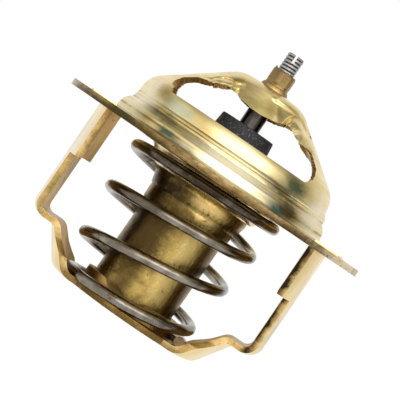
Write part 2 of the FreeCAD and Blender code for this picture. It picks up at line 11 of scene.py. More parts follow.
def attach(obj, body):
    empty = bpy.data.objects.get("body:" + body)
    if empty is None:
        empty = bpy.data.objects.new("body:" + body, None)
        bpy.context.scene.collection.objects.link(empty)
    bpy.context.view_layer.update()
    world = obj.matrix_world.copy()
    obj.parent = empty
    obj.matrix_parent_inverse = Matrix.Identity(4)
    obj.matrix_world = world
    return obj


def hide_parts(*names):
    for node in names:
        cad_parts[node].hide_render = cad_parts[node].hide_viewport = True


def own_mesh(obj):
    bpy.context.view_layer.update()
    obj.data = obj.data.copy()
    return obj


bl_info = {
    "name": "Engine Thermostat",
    "version": (1, 0, 0),
    "blender": (4, 5, 0),
    "location": "View3D > Sidebar > Thermostat",
    "description": "Dresses a sprung wax thermostat in pressed brass, drawn wire and rubber",
    "category": "Object",
}

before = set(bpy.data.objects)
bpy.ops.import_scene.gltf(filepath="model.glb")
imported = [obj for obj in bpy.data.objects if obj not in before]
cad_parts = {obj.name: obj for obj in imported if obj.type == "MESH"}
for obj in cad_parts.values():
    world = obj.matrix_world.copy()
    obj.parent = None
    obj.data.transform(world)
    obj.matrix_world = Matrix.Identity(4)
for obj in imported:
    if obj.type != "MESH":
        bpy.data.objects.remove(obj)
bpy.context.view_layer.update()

MM = 0.001
NUMBERS = "ShaderNodeMath"
VECTORS = "ShaderNodeVectorMath"


# Colours and nodes


def linear(hex_colour):
    """An sRGB hex colour such as D9BC6A as linear RGBA."""
    channels = []
    for place in (0, 2, 4):
        value = int(hex_colour[place : place + 2], 16) / 255
        if value <= 0.04045:
            channels.append(value / 12.92)
        else:
            channels.append(((value + 0.055) / 1.055) ** 2.4)
    return (*channels, 1.0)


def grey(value):
    """A grey of a linear value as RGBA."""
    return (value, value, value, 1.0)


def add_node(tree, kind, settings=None, links=None):
    """A node with its settings and the sockets that feed it."""
    node = tree.nodes.new(kind)
    for key, value in (settings or {}).items():
        if isinstance(key, str) and hasattr(node, key):
            setattr(node, key, value)
        else:
            node.inputs[key].default_value = value
    for key, source in (links or {}).items():
        tree.links.new(source, node.inputs[key])
    return node


def worked_out(tree, kind, operation, *inputs):
    """The result of a math node; each input is a number, a vector or a socket."""
    node = add_node(tree, kind, {"operation": operation})
    for place, value in zip(node.inputs, inputs):
        if isinstance(value, bpy.types.NodeSocket):
            tree.links.new(value, place)
        else:
            place.default_value = value
    is_vector = kind == VECTORS and operation not in ("LENGTH", "DOT_PRODUCT")
    return node.outputs["Vector" if is_vector else "Value"]


def mapped(tree, source, low, high, start=0.0, end=1.0):
    """The source's run from low to high, as a run from start to end."""
    settings = {1: low, 2: high, 3: start, 4: end}
    return add_node(tree, "ShaderNodeMapRange", settings, {0: source}).outputs[0]


def object_place(tree):
    """The place on the object, in metres."""
    return add_node(tree, "ShaderNodeTexCoord").outputs["Object"]


def streaks(tree, scale, detail, roughness):
    """Noise in object space, stretched by a scale along each axis."""
    place = add_node(tree, "ShaderNodeMapping", {"Scale": scale}, {"Vector": object_place(tree)})
    settings = {"Scale": 1.0, "Detail": detail, "Roughness": roughness}
    links = {"Vector": place.outputs["Vector"]}
    return add_node(tree, "ShaderNodeTexNoise", settings, links).outputs["Fac"]


def ramp(tree, source, stops):
    """A colour ramp; each stop is a place and a hex colour or a linear one."""
    node = add_node(tree, "ShaderNodeValToRGB", links={"Fac": source})
    band = node.color_ramp
    while len(band.elements) < len(stops):
        band.elements.new(0.5)
    for element, (place, colour) in zip(band.elements, stops):
        element.position = place
        element.color = linear(colour) if isinstance(colour, str) else colour
    return node.outputs["Color"]


def mixed_in(tree, colour, tone, cover):
    """The colour with a tone laid over it where the cover says so."""
    settings = {"data_type": "RGBA", "clamp_factor": True, 7: linear(tone)}
    return add_node(tree, "ShaderNodeMix", settings, {0: cover, 6: colour}).outputs[2]


def patched(tree, colour, patch):
    """The colour with one cloudy patch, which stands for a stain in some places and for painted
    light and shade in others: tone, centre and reach in mm, strength.
    """
    tone, centre, reach, strength = patch
    centre, reach = [[value * MM for value in values] for values in (centre, reach)]
    away = worked_out(tree, VECTORS, "SUBTRACT", object_place(tree), centre)
    share = worked_out(tree, VECTORS, "DIVIDE", away, reach)
    length = worked_out(tree, VECTORS, "LENGTH", share)
    cloud = streaks(tree, (260, 260, 520), 7.0, 0.7)
    torn = worked_out(tree, NUMBERS, "MULTIPLY_ADD", cloud, 1.8, -0.9)
    edge = worked_out(tree, NUMBERS, "ADD", length, torn)
    return mixed_in(tree, colour, tone, mapped(tree, edge, 0.35, 1.15, strength, 0.0))


def bump(tree, source, depth, strength=1.0):
    """The normals of a skin that the source raises by up to a depth, in metres."""
    settings = {"Strength": strength, "Distance": depth}
    return add_node(tree, "ShaderNodeBump", settings, {"Height": source}).outputs["Normal"]


def new_material(name):
    """A material whose node tree is empty, and that tree."""
    material = bpy.data.materials.new(name)
    material.use_nodes = True
    material.node_tree.nodes.clear()
    return material, material.node_tree


def finish_material(material, settings, links):
    """The material with its surface and its output."""
    tree = material.node_tree
    surface = add_node(tree, "ShaderNodeBsdfPrincipled", settings, links)
    add_node(tree, "ShaderNodeOutputMaterial", links={"Surface": surface.outputs["BSDF"]})
    return material


def metal(
    name, tones, tone_scale, rough, line_scale, line_depth, specks=None, stains_and_painted_light=(), bands=None
):
    """A metal whose tone drifts, with tool lines, specks, cloudy patches of stain and of painted
    light and shade, and dark bands by height.

    Specks: tone, size and least noise. Bands: tone, lowest and highest z, and z with its share."""
    material, tree = new_material(name)
    last = len(tones) - 1
    stops = [(0.32 + 0.36 * index / last, tone) for index, tone in enumerate(tones)]
    colour = ramp(tree, streaks(tree, tone_scale, 5.0, 0.55), stops)
    if bands is not None:
        tone, low, high, marks = bands
        parts = add_node(tree, "ShaderNodeSeparateXYZ", links={0: object_place(tree)})
        height = mapped(tree, parts.outputs["Z"], low * MM, high * MM)
        line = ramp(tree, height, [((z - low) / (high - low), grey(share)) for z, share in marks])
        broken = streaks(tree, (90, 90, 900), 6.0, 0.7)
        gaps = ramp(tree, broken, [(0.34, grey(0.3)), (0.5, grey(1.0))])
        colour = mixed_in(tree, colour, tone, worked_out(tree, NUMBERS, "MULTIPLY", line, gaps))
    for patch in stains_and_painted_light:
        colour = patched(tree, colour, patch)
    if specks is not None:
        tone, size, least = specks
        dots = streaks(tree, (size, size, size), 3.0, 0.6)
        cover = ramp(tree, dots, [(least, grey(0.0)), (least + 0.05, grey(0.75))])
        colour = mixed_in(tree, colour, tone, cover)
    lines = streaks(tree, line_scale, 3.0, 0.7)
    gloss = ramp(tree, lines, [(0.3, grey(rough[0])), (0.7, grey(rough[1]))])
    links = {"Base Color": colour, "Roughness": gloss, "Normal": bump(tree, lines, line_depth)}
    return finish_material(material, {"Metallic": 1.0}, links)


# Pressed brass sheet: lemon gold, bright from the rolls, with drawing lines round the axis.
# Teal, olive and brown clouds low on the front are painted reflections of the dark room, cream
# clouds at both flanks painted reflections of the white backdrop, and cream clouds on the front
# foot and wall painted highlights. Olive clouds on the lip and crown are painted shade, and the
# dark bands along the beads and grooves of the foot are painted shade and reflection. The back
# wall has olive clouds.
def pressed_brass():
    return metal(
        "pressed_brass",
        tones=["E3C682", "F0D694", "FAE6AC"],
        tone_scale=(140, 140, 420),
        rough=(0.22, 0.38),
        line_scale=(60, 60, 1500),
        line_depth=0.00002,
        specks=("8A7040", 2600, 0.70),
        stains_and_painted_light=[
            # Painted reflections of the dark room: teal, olive and brown clouds low on the front.
            ("C2CCB2", (-10.3, -15.0, 5.7), (4.0, 4.0, 1.2), 0.8),
            ("4A6650", (12.0, -13.8, 5.7), (3.9, 3.4, 1.8), 0.85),
            ("51431F", (13.0, -15.2, 2.0), (4.5, 4.0, 1.6), 0.9),
            ("2F6460", (11.2, -16.2, 1.3), (1.8, 2.5, 0.8), 0.9),
            ("4A4226", (10.2, -15.6, 4.2), (4.8, 4.0, 0.9), 0.85),
            ("6B6238", (-11.5, -14.8, 3.5), (6.0, 5.0, 1.1), 0.85),
            ("3C584E", (-9.4, -17.4, 1.5), (2.6, 2.5, 0.8), 0.9),
            ("5E5230", (-5.4, -18.9, 1.1), (3.6, 3.0, 0.5), 0.8),
            ("6E6234", (-14.5, -11.5, 3.4), (3.0, 5.0, 0.9), 0.8),
            # Painted reflections of the white backdrop at both flanks, and a tan cloud below the
            # left end of the window.
            ("F6ECCE", (-16.2, -9.0, 4.5), (3.2, 7.0, 5.0), 0.8),
            ("A07E48", (-13.8, -11.8, 7.0), (1.9, 3.0, 1.7), 0.6),
            ("F2E6C8", (16.8, -8.0, 3.6), (2.8, 7.0, 4.5), 0.8),
            # Painted highlights on the front foot and wall.
            ("FFF3D2", (2.5, -19.6, 2.4), (10.5, 5.0, 2.4), 0.85),
            ("FBE8B8", (2.5, -18.2, 6.6), (9.0, 4.0, 3.0), 0.5),
            # Painted shade on the lip and crown.
            ("A39A58", (-0.8, -9.6, 13.7), (4.0, 2.5, 1.3), 0.6),
            ("A08E4E", (1.8, -9.0, 14.5), (2.2, 3.5, 1.2), 0.6),
            ("7E8C66", (-5.6, -8.8, 13.9), (1.3, 2.5, 0.9), 0.7),
            ("84723C", (-5.7, -7.5, 15.1), (1.6, 4.0, 0.7), 0.85),
            # Olive clouds on the back wall.
            ("9A8A50", (9.6, 14.6, 4.0), (6.0, 5.0, 2.0), 0.8),
            ("7E8C6A", (-8.0, 15.8, 6.0), (5.0, 4.0, 1.4), 0.7),
        ],
        # Painted shade and painted reflection in lines along the beads and grooves of the foot.
        bands=("5E4E28", 0.4, 5.4, [
            (0.58, 0.0), (0.64, 0.9), (0.78, 0.7), (0.95, 0.0), (1.5, 0.2), (1.85, 0.85),
            (2.1, 0.0), (2.85, 0.0), (2.98, 0.6), (3.1, 0.0), (3.45, 0.2), (3.65, 0.95),
            (3.85, 0.0), (4.14, 0.0), (4.24, 0.95), (4.34, 0.0), (4.66, 0.0), (4.78, 0.8),
            (4.9, 0.0),
        ]),
    )


# Strip brass of the stirrup: the same metal, less polished by the press, darker tan on the arms,
# with a painted reflection of the white backdrop on the front of the left arm.
def strip_brass():
    return metal(
        "strip_brass",
        tones=["DCC286", "EAD298", "F5E2AE"],
        tone_scale=(150, 150, 90),
        rough=(0.20, 0.32),
        line_scale=(500, 500, 120),
        line_depth=0.00002,
        specks=("8A7040", 2200, 0.68),
        stains_and_painted_light=[
            ("B79C62", (-22.4, 0.0, -6.0), (2.0, 9.0, 4.0), 0.6),
            # Painted reflection of the white backdrop on the front of the left arm.
            ("F0E8CC", (-22.0, -8.0, -10.0), (3.0, 5.0, 14.0), 0.8),
            ("A88D54", (22.4, 0.0, -15.0), (2.0, 7.0, 5.0), 0.6),
        ],
    )


# Inner side of the strip: a darker, browner copy of the strip's brass, painted shade for the side
# that faces in.
def shaded_strip_brass():
    return metal(
        "shaded_strip_brass",
        tones=["8E6F38", "A8864A", "C09A5C"],
        tone_scale=(160, 160, 90),
        rough=(0.30, 0.42),
        line_scale=(500, 500, 120),
        line_depth=0.00002,
        specks=("5E4A28", 1500, 0.62),
    )


# Corners of the strip: a painted highlight, bright gold along every rounded corner.
def highlit_corner():
    return metal(
        "highlit_corner",
        tones=["D2B46E", "E8CE8A", "F6E2A8"],
        tone_scale=(260, 260, 260),
        rough=(0.20, 0.30),
        line_scale=(700, 700, 700),
        line_depth=0.00001,
        specks=("7A6034", 1500, 0.60),
    )


# Sheared brass: the torn edge that a blanking punch leaves, tan and rough.
# On the right arm the edge is dark olive, on the left arm and along the front of the base darker
# tan, and on the front window's left arc it carries a painted light that brightens the cut face.
def sheared_brass():
    return metal(
        "sheared_brass",
        tones=["A08250", "BC9C62", "D2B47C"],
        tone_scale=(260, 260, 260),
        rough=(0.40, 0.55),
        line_scale=(1500, 1500, 1500),
        line_depth=0.00003,
        specks=("6A5230", 1900, 0.62),
        stains_and_painted_light=[
            ("2A2114", (19.2, -9.6, -5.0), (1.15, 3.0, 12.0), 1.0),
            ("2A2114", (20.4, -6.2, -14.0), (1.0, 2.0, 14.0), 1.0),
            ("6A5228", (-2.0, -9.5, -27.0), (17.0, 6.0, 3.4), 1.0),
            ("765C34", (-19.1, -9.7, -5.0), (0.95, 2.5, 7.0), 0.85),
            ("85713F", (-20.4, -6.2, -15.5), (0.9, 2.0, 8.0), 0.9),
            # Painted light on the cut face of the front window's left arc.
            ("F6CC8C", (-10.5, -11.5, 10.8), (6.0, 7.0, 3.0), 0.9),
        ],
    )


# Rim of the flange: sheared like the strip, brown, with an olive length on the left, darker
# towards its lower edge, and with painted reflections of the white backdrop at both ends.
def rim_brass():
    return metal(
        "rim_brass",
        tones=["7A6238", "967C4E", "B2966A"],
        tone_scale=(500, 500, 900),
        rough=(0.32, 0.50),
        line_scale=(900, 900, 2400),
        line_depth=0.00004,
        specks=("4A3A20", 1700, 0.60),
        stains_and_painted_light=[
            ("4B4426", (-16.5, -22.5, 0.0), (5.0, 5.0, 2.0), 0.9),
            # Painted reflections of the white backdrop at both ends of the flange.
            ("D8C3A4", (-27.6, -3.0, 0.0), (4.0, 8.0, 2.0), 0.8),
            ("EAD6B4", (25.0, -12.0, 0.0), (7.0, 12.0, 3.0), 0.95),
        ],
        bands=("3E311C", -0.55, 0.56, [(-0.55, 0.85), (-0.2, 0.7), (0.1, 0.35), (0.4, 0.0)]),
    )


# Turned brass: bar stock from the lathe, duller and browner, with tool lines round the axis.
# A painted highlight brightens the front of the boss's foot, and the front is darker up by the
# top.
def turned_brass():
    return metal(
        "turned_brass",
        tones=["8E774C", "A0865A", "B0966A"],
        tone_scale=(200, 200, 500),
        rough=(0.40, 0.50),
        line_scale=(100, 100, 5200),
        line_depth=0.00004,
        specks=("6E5834", 2400, 0.68),
        stains_and_painted_light=[
            # A painted highlight on the front of the boss's foot, and darker up by the top.
            ("F4D28C", (0.6, -4.0, 17.4), (3.0, 3.0, 0.9), 0.85),
            ("7E6640", (0.0, -3.0, 20.2), (3.5, 4.0, 2.0), 0.6),
        ],
    )


# Brass of the wax element: olive from heat, rubbed bright in short strokes. Painted shade darkens
# the case's left half and right flank, and a painted highlight runs down it right of the middle.
# A painted shadow of the flange lies on the guide's top and the case's collar, a painted highlight
# on the guide's front; the back of the case is darker.
def element_brass():
    return metal(
        "element_brass",
        tones=["7C693C", "9C8448", "BEA25C"],
        tone_scale=(300, 300, 90),
        rough=(0.24, 0.40),
        line_scale=(1500, 1500, 700),
        line_depth=0.00007,
        specks=("5A4624", 1300, 0.64),
        stains_and_painted_light=[
            # Painted shade on the left half and the right flank, and a painted highlight right of
            # the middle.
            ("46351C", (-4.4, -6.0, -14.0), (6.8, 7.0, 15.0), 0.9),
            ("D8BE7C", (3.4, -8.5, -14.5), (2.2, 4.0, 12.0), 0.55),
            ("5E4A26", (7.2, -3.0, -16.0), (2.6, 6.0, 12.0), 0.75),
            # Painted shadow of the flange on the guide and the collar, the back darker, a painted
            # highlight on the guide.
            ("33251A", (-5.0, -6.0, -5.0), (4.5, 6.0, 2.6), 0.95),
            ("54411F", (0.0, -7.6, -7.6), (6.0, 4.0, 1.4), 0.75),
            ("54411F", (0.0, 6.0, -15.0), (7.0, 3.0, 9.0), 0.6),
            ("F0CE84", (2.4, -8.0, -5.4), (3.2, 5.0, 1.8), 0.9),
        ],
    )


# Drawn spring wire: grey-brown steel with lines along the wire. A painted shadow of the flange
# darkens the top coil and painted shade the upper coils; the lower end of the wire is browner.
def drawn_steel():
    return metal(
        "drawn_steel",
        tones=["625A4F", "837A6E", "A29A8D"],
        tone_scale=(300, 300, 420),
        rough=(0.15, 0.27),
        line_scale=(400, 400, 3000),
        line_depth=0.00002,
        specks=("5A4A32", 700, 0.60),
        stains_and_painted_light=[
            ("6E5532", (10.6, -2.0, -25.6), (3.0, 3.5, 1.6), 0.95),
            # Painted shadow of the flange on the top coil, and painted shade on the upper coils.
            ("2E241C", (0.0, -13.0, -1.9), (16.0, 6.0, 1.9), 0.9),
            ("46392C", (-8.0, -8.0, -8.0), (12.0, 10.0, 5.0), 0.6),
        ],
    )


# Ground steel: the piston rod and the snap ring, smooth and dark.
def ground_steel():
    return metal(
        "ground_steel",
        tones=["3E3A36", "4A4641", "56524C"],
        tone_scale=(300, 300, 80),
        rough=(0.18, 0.28),
        line_scale=(200, 200, 3000),
        line_depth=0.00001,
    )


# Cut steel thread: light crests, with painted shade that darkens it down into the roots.
def cut_steel():
    material, tree = new_material("cut_steel")
    flat = worked_out(tree, VECTORS, "MULTIPLY", object_place(tree), (1, 1, 0))
    radius = worked_out(tree, VECTORS, "LENGTH", flat)
    # Painted shade: darker from the crests down into the roots.
    depth = mapped(tree, radius, 1.30 * MM, 1.50 * MM)
    tones = [(0.1, "4A4643"), (0.55, "73706C"), (0.9, "9C9A97"), (1.0, "B4B2AF")]
    grit = streaks(tree, (2600, 2600, 2600), 3.0, 0.6)
    links = {
        "Base Color": ramp(tree, depth, tones),
        "Roughness": ramp(tree, grit, [(0.35, grey(0.32)), (0.65, grey(0.55))]),
        "Normal": bump(tree, grit, 0.00008),
    }
    return finish_material(material, {"Metallic": 1.0}, links)


# Moulded rubber: dark grey, matte, with pale dust and a coarse skin.
def moulded_rubber():
    material, tree = new_material("moulded_rubber")
    dust = streaks(tree, (3600, 3600, 3600), 2.0, 0.5)
    skin = streaks(tree, (900, 900, 900), 6.0, 0.7)
    links = {
        "Base Color": ramp(tree, dust, [(0.3, "2E2F31"), (0.60, "3C3D3F"), (0.70, "8A8A8C")]),
        "Normal": bump(tree, skin, 0.0001, 0.6),
    }
    return finish_material(material, {"Roughness": 0.62, "Specular IOR Level": 0.4}, links)


# Plain insides: wax, gel and seals, which stay out of sight.
def plain_inside(name, tone, rough):
    material, tree = new_material(name)
    cloud = streaks(tree, (400, 400, 400), 3.0, 0.5)
    base = linear(tone)
    pale = tuple(min(channel * 1.2, 1.0) for channel in base[:3]) + (1.0,)
    links = {"Base Color": ramp(tree, cloud, [(0.35, base), (0.65, pale)])}
    return finish_material(material, {"Roughness": rough}, links)


MATERIALS = {}


def material_of(maker, *words):
    """The material that a maker gives, made once."""
    key = (maker.__name__, *words)
    if key not in MATERIALS:
        MATERIALS[key] = maker(*words)
    return MATERIALS[key]


# Forms

# Sections of the pieces, spun about Z: x, z and, where a corner is rounded, its radius, in mm.
# The dome and the stirrup are open runs along one side of the metal, the rest are closed.
SECTIONS = {
    "dome": [
        (28.2, 0.55), (20.5, 0.55, 0.3), (20.13, 0.95, 0.3), (19.96, 1.85, 0.4),
        (19.84, 2.4, 0.4), (19.3, 3.05, 0.4), (18.88, 3.45, 0.2), (18.8, 3.8, 0.1),
        (18.86, 4.05, 0.1), (18.66, 4.25, 0.06), (18.74, 4.5, 0.1), (18.45, 4.9, 0.3),
        (18.35, 5.6, 2.0), (18.15, 7.75, 4.2), (5.9, 17.1, 5.0), (2.07, 17.1),
    ],
    "stirrup": [
        (22.45, 0.55), (22.45, -21.15, 2.3), (18.1, -21.15, 1.0), (13.8, -27.45, 2.4),
        (7.85, -27.45, 1.2), (7.85, -23.5),
    ],
    "tab_head": [(20.7, 0.55), (20.7, 0.85, 0.1), (25.0, 0.85, 0.2), (25.0, 0.55)],
    "boss": [
        (1.53, 20.6), (1.6, 20.7, 0.04), (1.95, 20.7, 0.08), (2.13, 20.45, 0.1),
        (2.13, 18.5, 0.15), (2.06, 18.4, 0.04), (2.12, 18.3, 0.04), (2.06, 18.2, 0.04),
        (2.14, 18.1, 0.04), (2.1, 18.0, 0.04), (2.35, 17.75, 0.15), (2.5, 17.3, 0.1),
        (2.35, 17.0), (2.0, 17.0), (2.0, 16.0), (4.2, 16.0, 0.1), (4.2, 14.6, 0.2),
        (3.0, 14.6, 0.1), (3.0, 13.1, 0.1), (1.89, 13.1), (1.89, 15.2), (1.53, 15.2),
    ],
    "rod": [(0.0, 1.1), (1.85, 1.1, 0.1), (1.85, 15.2), (0.0, 15.2)],
    "case": [
        (0.0, -26.0), (7.45, -26.0, 1.2), (7.5, -22.4, 0.5), (7.5, -9.4, 0.6),
        (8.0, -8.9, 0.6), (8.0, -6.0), (8.3, -6.0), (8.3, -5.2), (7.4, -5.2), (7.4, -8.9),
        (6.9, -9.4), (6.9, -25.2), (0.0, -25.2),
    ],
    "guide": [
        (1.89, -1.5), (5.0, -4.4), (8.33, -4.4), (8.33, -6.0), (8.03, -6.0), (8.03, -6.45),
        (8.25, -6.45, 0.06), (8.8, -4.3, 0.5), (8.85, -3.5, 0.15), (5.0, -3.5), (5.0, -2.6),
        (4.5, -2.6), (4.5, -1.77), (5.0, -1.77), (5.0, 1.5, 0.3), (4.0, 1.5), (4.0, 5.0),
        (3.5, 5.0), (3.5, 6.0), (4.0, 6.0), (4.0, 8.6), (1.89, 8.6),
    ],
    "boot": [
        (1.89, 9.75), (1.95, 9.85, 0.05), (4.93, 9.85, 0.22), (5.2, 7.4, 0.3),
        (5.2, 4.2, 0.3), (4.0, 4.2), (4.0, 5.0), (3.5, 5.0), (3.5, 6.0), (4.0, 6.0),
        (4.0, 8.6), (1.89, 8.6),
    ],
    "valve_dish": [
        (5.03, -3.5), (9.56, -3.5, 0.9), (11.75, -0.7, 0.6), (14.6, -0.7, 0.5),
        (17.12, 2.3, 0.5), (18.4, 2.3, 0.1), (18.4, 2.7, 0.05), (17.9, 3.2, 0.1),
        (16.7, 3.2, 0.6), (14.18, 0.2, 0.8), (11.31, 0.2, 0.6), (9.12, -2.6, 0.9),
        (5.03, -2.6),
    ],
}


def rounded_path(corners, step):
    """Points along straight runs whose corners (x, z, radius) are rounded, in mm."""
    points = []
    last = len(corners) - 1
    for index, corner in enumerate(corners):
        here = Vector(corner[:2])
        radius = corner[2] if len(corner) > 2 else 0.0
        if radius == 0.0 or index in (0, last):
            points.append(here)
            continue
        back = (Vector(corners[index - 1][:2]) - here).normalized()
        ahead = (Vector(corners[index + 1][:2]) - here).normalized()
        half = back.angle(ahead) / 2
        centre = here + (back + ahead).normalized() * (radius / math.sin(half))
        first = here + back * (radius / math.tan(half)) - centre
        sweep = math.pi - 2 * half
        turn = 1 if ahead.x * back.y - ahead.y * back.x > 0 else -1
        pieces = max(2, int(radius * sweep / (step * 0.6)) + 1)
        for part in range(pieces + 1):
            angle = turn * sweep * part / pieces
            cosine, sine = math.cos(angle), math.sin(angle)
            spun = (first.x * cosine - first.y * sine, first.x * sine + first.y * cosine)
            points.append(centre + Vector(spun))
    full = [points[0]]
    for point in points[1:]:
        gap = (point - full[-1]).length
        if gap < 1e-5:
            continue
        start = full[-1].copy()
        pieces = max(1, int(gap / step))
        for part in range(1, pieces + 1):
            full.append(start.lerp(point, part / pieces))
    return full


def spun_shape(name, path, steps, closed=True):
    """A profile in the XZ plane, drawn vertex by vertex and spun about Z."""
    bpy.ops.object.select_all(action="DESELECT")
    bpy.ops.mesh.primitive_plane_add(size=0.001, location=(0, 0, 0))
    shape = bpy.context.object
    shape.name = name
    shape.data.name = name
    bpy.ops.object.mode_set(mode="EDIT")
    bpy.ops.mesh.select_all(action="SELECT")
    bpy.ops.mesh.merge(type="CENTER")
    bpy.ops.transform.translate(value=(path[0][0] * MM, 0, path[0][1] * MM))
    ends = list(path[1:]) + ([path[0]] if closed else [])
    last = path[0]
    for point in ends:
        move = ((point[0] - last[0]) * MM, 0, (point[1] - last[1]) * MM)
        bpy.ops.mesh.extrude_region_move(TRANSFORM_OT_translate={"value": move})
        last = point
    bpy.ops.mesh.select_all(action="SELECT")
    bpy.ops.mesh.remove_doubles(threshold=1e-7)
    bpy.ops.mesh.select_all(action="SELECT")
    bpy.ops.mesh.spin(steps=steps, angle=2 * math.pi, center=(0, 0, 0), axis=(0, 0, 1))
    tidy_mesh()
    return shape


def tidy_mesh():
    """Merges what touches in the mesh being edited, turns its faces outwards and ends the edit."""
    bpy.ops.mesh.select_all(action="SELECT")
    bpy.ops.mesh.remove_doubles(threshold=2e-6)
    bpy.ops.mesh.select_all(action="SELECT")
    bpy.ops.mesh.normals_make_consistent(inside=False)
    bpy.ops.object.mode_set(mode="OBJECT")


def spun_section(name, step, turns, *finishes, closed=True):
    """A piece spun from its section, with the finishes of its slots."""
    shape = spun_shape(name, rounded_path(SECTIONS[name], step), turns, closed)
    for finish in finishes:
        shape.data.materials.append(material_of(finish))
    return shape


def take(*shapes):
    """Selects shapes and nothing else, and makes the last one active."""
    bpy.ops.object.select_all(action="DESELECT")
    for shape in shapes:
        shape.select_set(True)
    bpy.context.view_layer.objects.active = shapes[-1]


def apply_modifier(shape, kind, **settings):
    """Adds a modifier with its settings and applies it."""
    take(shape)
    modifier = shape.modifiers.new(kind.lower(), kind)
    for key, value in settings.items():
        setattr(modifier, key, value)
    bpy.ops.object.modifier_apply(modifier=modifier.name)


def smooth(shape, degrees=35):
    """Shades a shape smooth except over edges sharper than an angle."""
    take(shape)
    bpy.ops.object.shade_smooth_by_angle(angle=math.radians(degrees))


def reshape(shape, move):
    """Puts each vertex where a function of its x, y and z, in mm, says."""
    for vertex in shape.data.vertices:
        vertex.co = [value * MM for value in move(*(value / MM for value in vertex.co))]


def outline_cutter(name, outline, axis, near, far, finish):
    """A prism through an outline, along Y, X or Z, in mm."""

    def place(across, up, along):
        if axis == "Y":
            return (across * MM, along * MM, up * MM)
        if axis == "X":
            return (along * MM, across * MM, up * MM)
        return (across * MM, up * MM, along * MM)

    rings = [[place(*point, along) for point in outline] for along in (near, far)]
    return loft(name, rings, finish)


def window_cutter(name, outline, side):
    """A prism through a window, whose walls open outwards inside the sheet of the dome.

    The third value of each point is how wide the cut face shows there, in mm."""
    start, end = 2.0, 26.0
    slant_depth, past_sheet, least_depth = 0.9, 0.05, 6.0
    near = 4  # points to either side that give the way of the edge
    rings = [[], [], [], []]
    for index, (x, z, width) in enumerate(outline):
        before, after = outline[index - near], outline[(index + near) % len(outline)]
        run = Vector((after[0] - before[0], after[1] - before[1])).normalized()
        wide_x, wide_z = x - run.y * width, z + run.x * width
        outer = math.sqrt(max(wall_radius(wide_z) ** 2 - wide_x**2, least_depth**2))
        places = [
            (x, z, start),
            (x, z, outer - slant_depth),
            (wide_x, wide_z, outer + past_sheet),
            (wide_x, wide_z, end),
        ]
        for ring, (across, up, along) in zip(rings, places):
            ring.append((across * MM, side * along * MM, up * MM))
    return loft(name, rings, sheared_brass)


def loft(name, rings, finish):
    """A closed solid through rings of points, in metres, with the finish of a cut.

    Its faces are made one by one, because no primitive has such rings."""
    mesh = bpy.data.meshes.new(name)
    build = bmesh.new()
    rings = [[build.verts.new(point) for point in ring] for ring in rings]
    count = len(rings[0])
    for low, high in zip(rings, rings[1:]):
        for index in range(count):
            after = (index + 1) % count
            build.faces.new((low[index], low[after], high[after], high[index]))
    build.faces.new(rings[0])
    build.faces.new(list(reversed(rings[-1])))
    bmesh.ops.recalc_face_normals(build, faces=build.faces)
    build.to_mesh(mesh)
    build.free()
    cutter = bpy.data.objects.new(name, mesh)
    bpy.context.scene.collection.objects.link(cutter)
    cutter.data.materials.append(material_of(finish))
    return cutter


def cut_away(shape, cutter):
    """Takes the cutter out of the shape, and leaves its finish on the cut faces."""
    settings = {"operation": "DIFFERENCE", "solver": "EXACT", "material_mode": "TRANSFER"}
    apply_modifier(shape, "BOOLEAN", object=cutter, **settings)
    bpy.data.objects.remove(cutter)


def settle(shape, body, slot_name, *nodes):
    """Puts a finished piece on its body in place of the solids it stands for."""
    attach(shape, body)
    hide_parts(*nodes)


# Forms of the dome, in mm

# Gauge of the sheet.
SHEET = 1.1
# Upright wall, cone and rounded crown of the outside.
WALL = 18.2
CONE_FOOT, CONE_HEAD, CONE_RISE = 7.71, 16.07, 0.763
CROWN_X, CROWN_Z, CROWN_RADIUS = 4.2, 12.1, 5.0
# Lip over a window: its radius at its head, and how much it widens for each mm down.
LIP_HEAD, LIP_RADIUS, LIP_SPREAD = 15.7, 7.55, 0.5
# How far the crest of the crown stands forward.
CREST_REACH = 0.9
# How far the foot leans to the right, and round which height.
FOOT_LEAN, FOOT_HEIGHT, FOOT_SPAN = 0.25, 4.2, 0.9
# Low edge of the windows, and how much wider the back one is cut.
SILL = 7.4
BACK_SCALE = 1.03

# Front window as cut: x and z, and how wide the cut face shows.
FRONT_WINDOW = [
    (-13.0, 7.4, 0.0), (-13.2, 8.0, 0.6), (-12.95, 8.9, 1.0), (-12.45, 9.7, 1.1),
    (-12.0, 10.15, 1.1), (-11.4, 10.7, 1.0), (-10.8, 11.05, 0.95), (-10.0, 11.3, 0.9),
    (-9.3, 11.6, 0.8), (-8.8, 11.75, 0.6), (-8.3, 12.1, 0.4), (-7.9, 12.65, 0.2),
    (-7.4, 13.0, 0.0), (-6.8, 13.3, 0.0), (-6.1, 13.5, 0.0), (-5.5, 13.35, 0.0),
    (-4.8, 13.3, 0.0), (-4.0, 13.0, 0.0), (-3.0, 12.75, 0.0), (-2.0, 12.6, 0.0),
    (-1.0, 12.48, 0.0), (0.0, 12.45, 0.0), (1.0, 12.5, 0.0), (2.0, 12.65, 0.0),
    (3.0, 12.75, 0.0), (3.8, 12.9, 0.0), (4.6, 13.35, 0.0), (5.3, 13.5, 0.0),
    (6.2, 13.4, 0.0), (6.8, 13.0, 0.0), (7.4, 12.7, 0.0), (7.9, 12.55, 0.0),
    (8.6, 12.0, 0.0), (8.75, 12.3, 0.0), (9.3, 12.25, 0.0), (10.0, 12.15, 0.12),
    (10.9, 11.8, 0.3), (11.5, 11.2, 0.42), (12.1, 10.55, 0.5), (12.7, 9.9, 0.6),
    (13.0, 9.2, 0.6), (13.25, 8.5, 0.5), (13.2, 7.9, 0.2), (12.9, 7.5, 0.0), (12.6, 7.4, 0.0),
]
